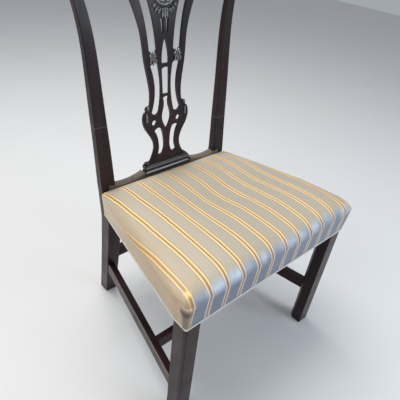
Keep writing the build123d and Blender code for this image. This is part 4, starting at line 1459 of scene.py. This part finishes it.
@dataclass(frozen=True)
class Studio:
    """A pale floor, soft lamps and the camera."""

    place: Place = (-0.6098, -0.5894, 1.0154)
    yaw: float = -45.02
    pitch: float = 36.92
    roll: float = 6.69
    focal: float = 404.0
    centre: Spot = (199.46, 211.77)
    size: float = 400.0
    sensor: float = 36.0
    seat: Place = (0.0, 0.0, 0.45)
    far: float = 6.0
    sky: Colour = (0.86, 0.92, 1.0)
    sky_strength: float = 0.42

    def floor(self) -> None:
        """Lays the pale floor."""
        bench = Bench("pale_floor")
        haze = bench.cloud(bench.place(), 3.0)
        bench.shade(Base_Color=bench.blend(haze, (0.70, 0.70, 0.70), (0.73, 0.73, 0.73)), Roughness=0.8)
        mesh = bpy.data.meshes.new("floor")
        corners = [(x * self.far, y * self.far, 0) for x, y in ((-1, -1), (1, -1), (1, 1), (-1, 1))]
        mesh.from_pydata(corners, [], [(0, 1, 2, 3)])
        mesh.materials.append(bench.material)
        plane = bpy.data.objects.new("floor", mesh)
        bpy.context.scene.collection.objects.link(plane)

    def lamp(self, name: str, place: Place, power: float, size: float, tint: Colour) -> None:
        """Hangs a soft lamp that faces the seat.

        Args:
            name: The lamp's name.
            place: Where it hangs.
            power: Its power in watts.
            size: The side of its square face.
            tint: Its colour.
        """
        light = bpy.data.lights.new(name, "AREA")
        light.energy = power
        light.size = size
        light.color = tint
        lamp = bpy.data.objects.new(name, light)
        turn = (Vector(self.seat) - Vector(place)).to_track_quat("-Z", "Y")
        lamp.matrix_world = Matrix.Translation(place) @ turn.to_matrix().to_4x4()
        bpy.context.scene.collection.objects.link(lamp)

    def camera(self) -> None:
        """Sets the camera at the photo's viewpoint."""
        yaw, pitch, roll = (math.radians(angle) for angle in (self.yaw, self.pitch, self.roll))
        ahead = Vector((-math.sin(yaw) * math.cos(pitch), math.cos(yaw) * math.cos(pitch), -math.sin(pitch)))
        right = ahead.cross(Vector((0, 0, 1))).normalized()
        up = right.cross(ahead)
        rolled_right = right * math.cos(roll) + up * math.sin(roll)
        rolled_up = up * math.cos(roll) - right * math.sin(roll)
        turn = Matrix((rolled_right, rolled_up, -ahead)).transposed().to_4x4()
        lens = bpy.data.cameras.new("photo_camera")
        lens.sensor_width = self.sensor
        lens.lens = self.sensor * self.focal / self.size
        lens.shift_x = (self.size / 2 - self.centre[0]) / self.size
        lens.shift_y = (self.centre[1] - self.size / 2) / self.size
        camera = bpy.data.objects.new("photo_camera", lens)
        camera.matrix_world = Matrix.Translation(self.place) @ turn
        bpy.context.scene.collection.objects.link(camera)
        bpy.context.scene.camera = camera

    def build(self) -> None:
        """Sets up the floor, lamps, world and camera."""
        self.floor()
        self.lamp("window_lamp", (1.1, -2.1, 1.25), 27.0, 1.3, (0.72, 0.85, 1.0))
        self.lamp("left_lamp", (-2.2, 0.3, 1.8), 22.0, 1.8, (1.0, 0.93, 0.82))
        self.lamp("top_lamp", (-0.2, 0.9, 2.8), 57.0, 1.8, (1.0, 0.98, 0.95))
        world = bpy.data.worlds.new("studio")
        world.use_nodes = True
        sky = world.node_tree.nodes["Background"].inputs
        sky["Color"].default_value = (*self.sky, 1.0)
        sky["Strength"].default_value = self.sky_strength
        scene = bpy.context.scene
        scene.world = world
        scene.view_settings.view_transform = "Standard"
        self.camera()


def main() -> None:
    """Builds the chair's looks in order and reports each piece."""
    logging.basicConfig(level=logging.INFO, format="%(name)s %(message)s")
    Studio().build()
    Joinery().build()
    plan = SeatPlan()
    seat = StuffedSeat(plan, StripedSilk().material(), CurledHair().material(), GimpBraid().material())
    foundation = SeatFoundation(
        plan,
        PlainWeave("jute_webbing", (0.32, 0.23, 0.13), (0.10, 0.07, 0.04), 0.0016).material(),
        PlainWeave("hessian", (0.36, 0.26, 0.14), (0.08, 0.055, 0.03), 0.0019).material(),
        PlainWeave("black_linen", (0.020, 0.020, 0.022), (0.006, 0.006, 0.007), 0.0009).material(),
    )
    # The carving's paler, bluish colours are a painted reflection, standing for glints of light on its
    # polished petals and leaves.
    carved = Mahogany(
        Grain.UPRIGHT, "carved_mahogany_painted_glint", (0.018, 0.018, 0.021), (0.085, 0.092, 0.110), (0.14, 0.15, 0.17),
        sheen=(0.08, 0.16), shine=1.0, polish=1.0, polish_index=2.1,
    )
    carving = SplatCarving(carved.material())
    pieces = [seat.stuffing(), seat.cover(), seat.gimp()]
    pieces += foundation.webbing()
    pieces += [foundation.hessian(), foundation.dust_cover()]
    pieces += carving.build()
    for piece in pieces:
        LOG.info("%s: %d points", piece.name, len(piece.data.vertices))


if __name__ == "__main__":
    main()
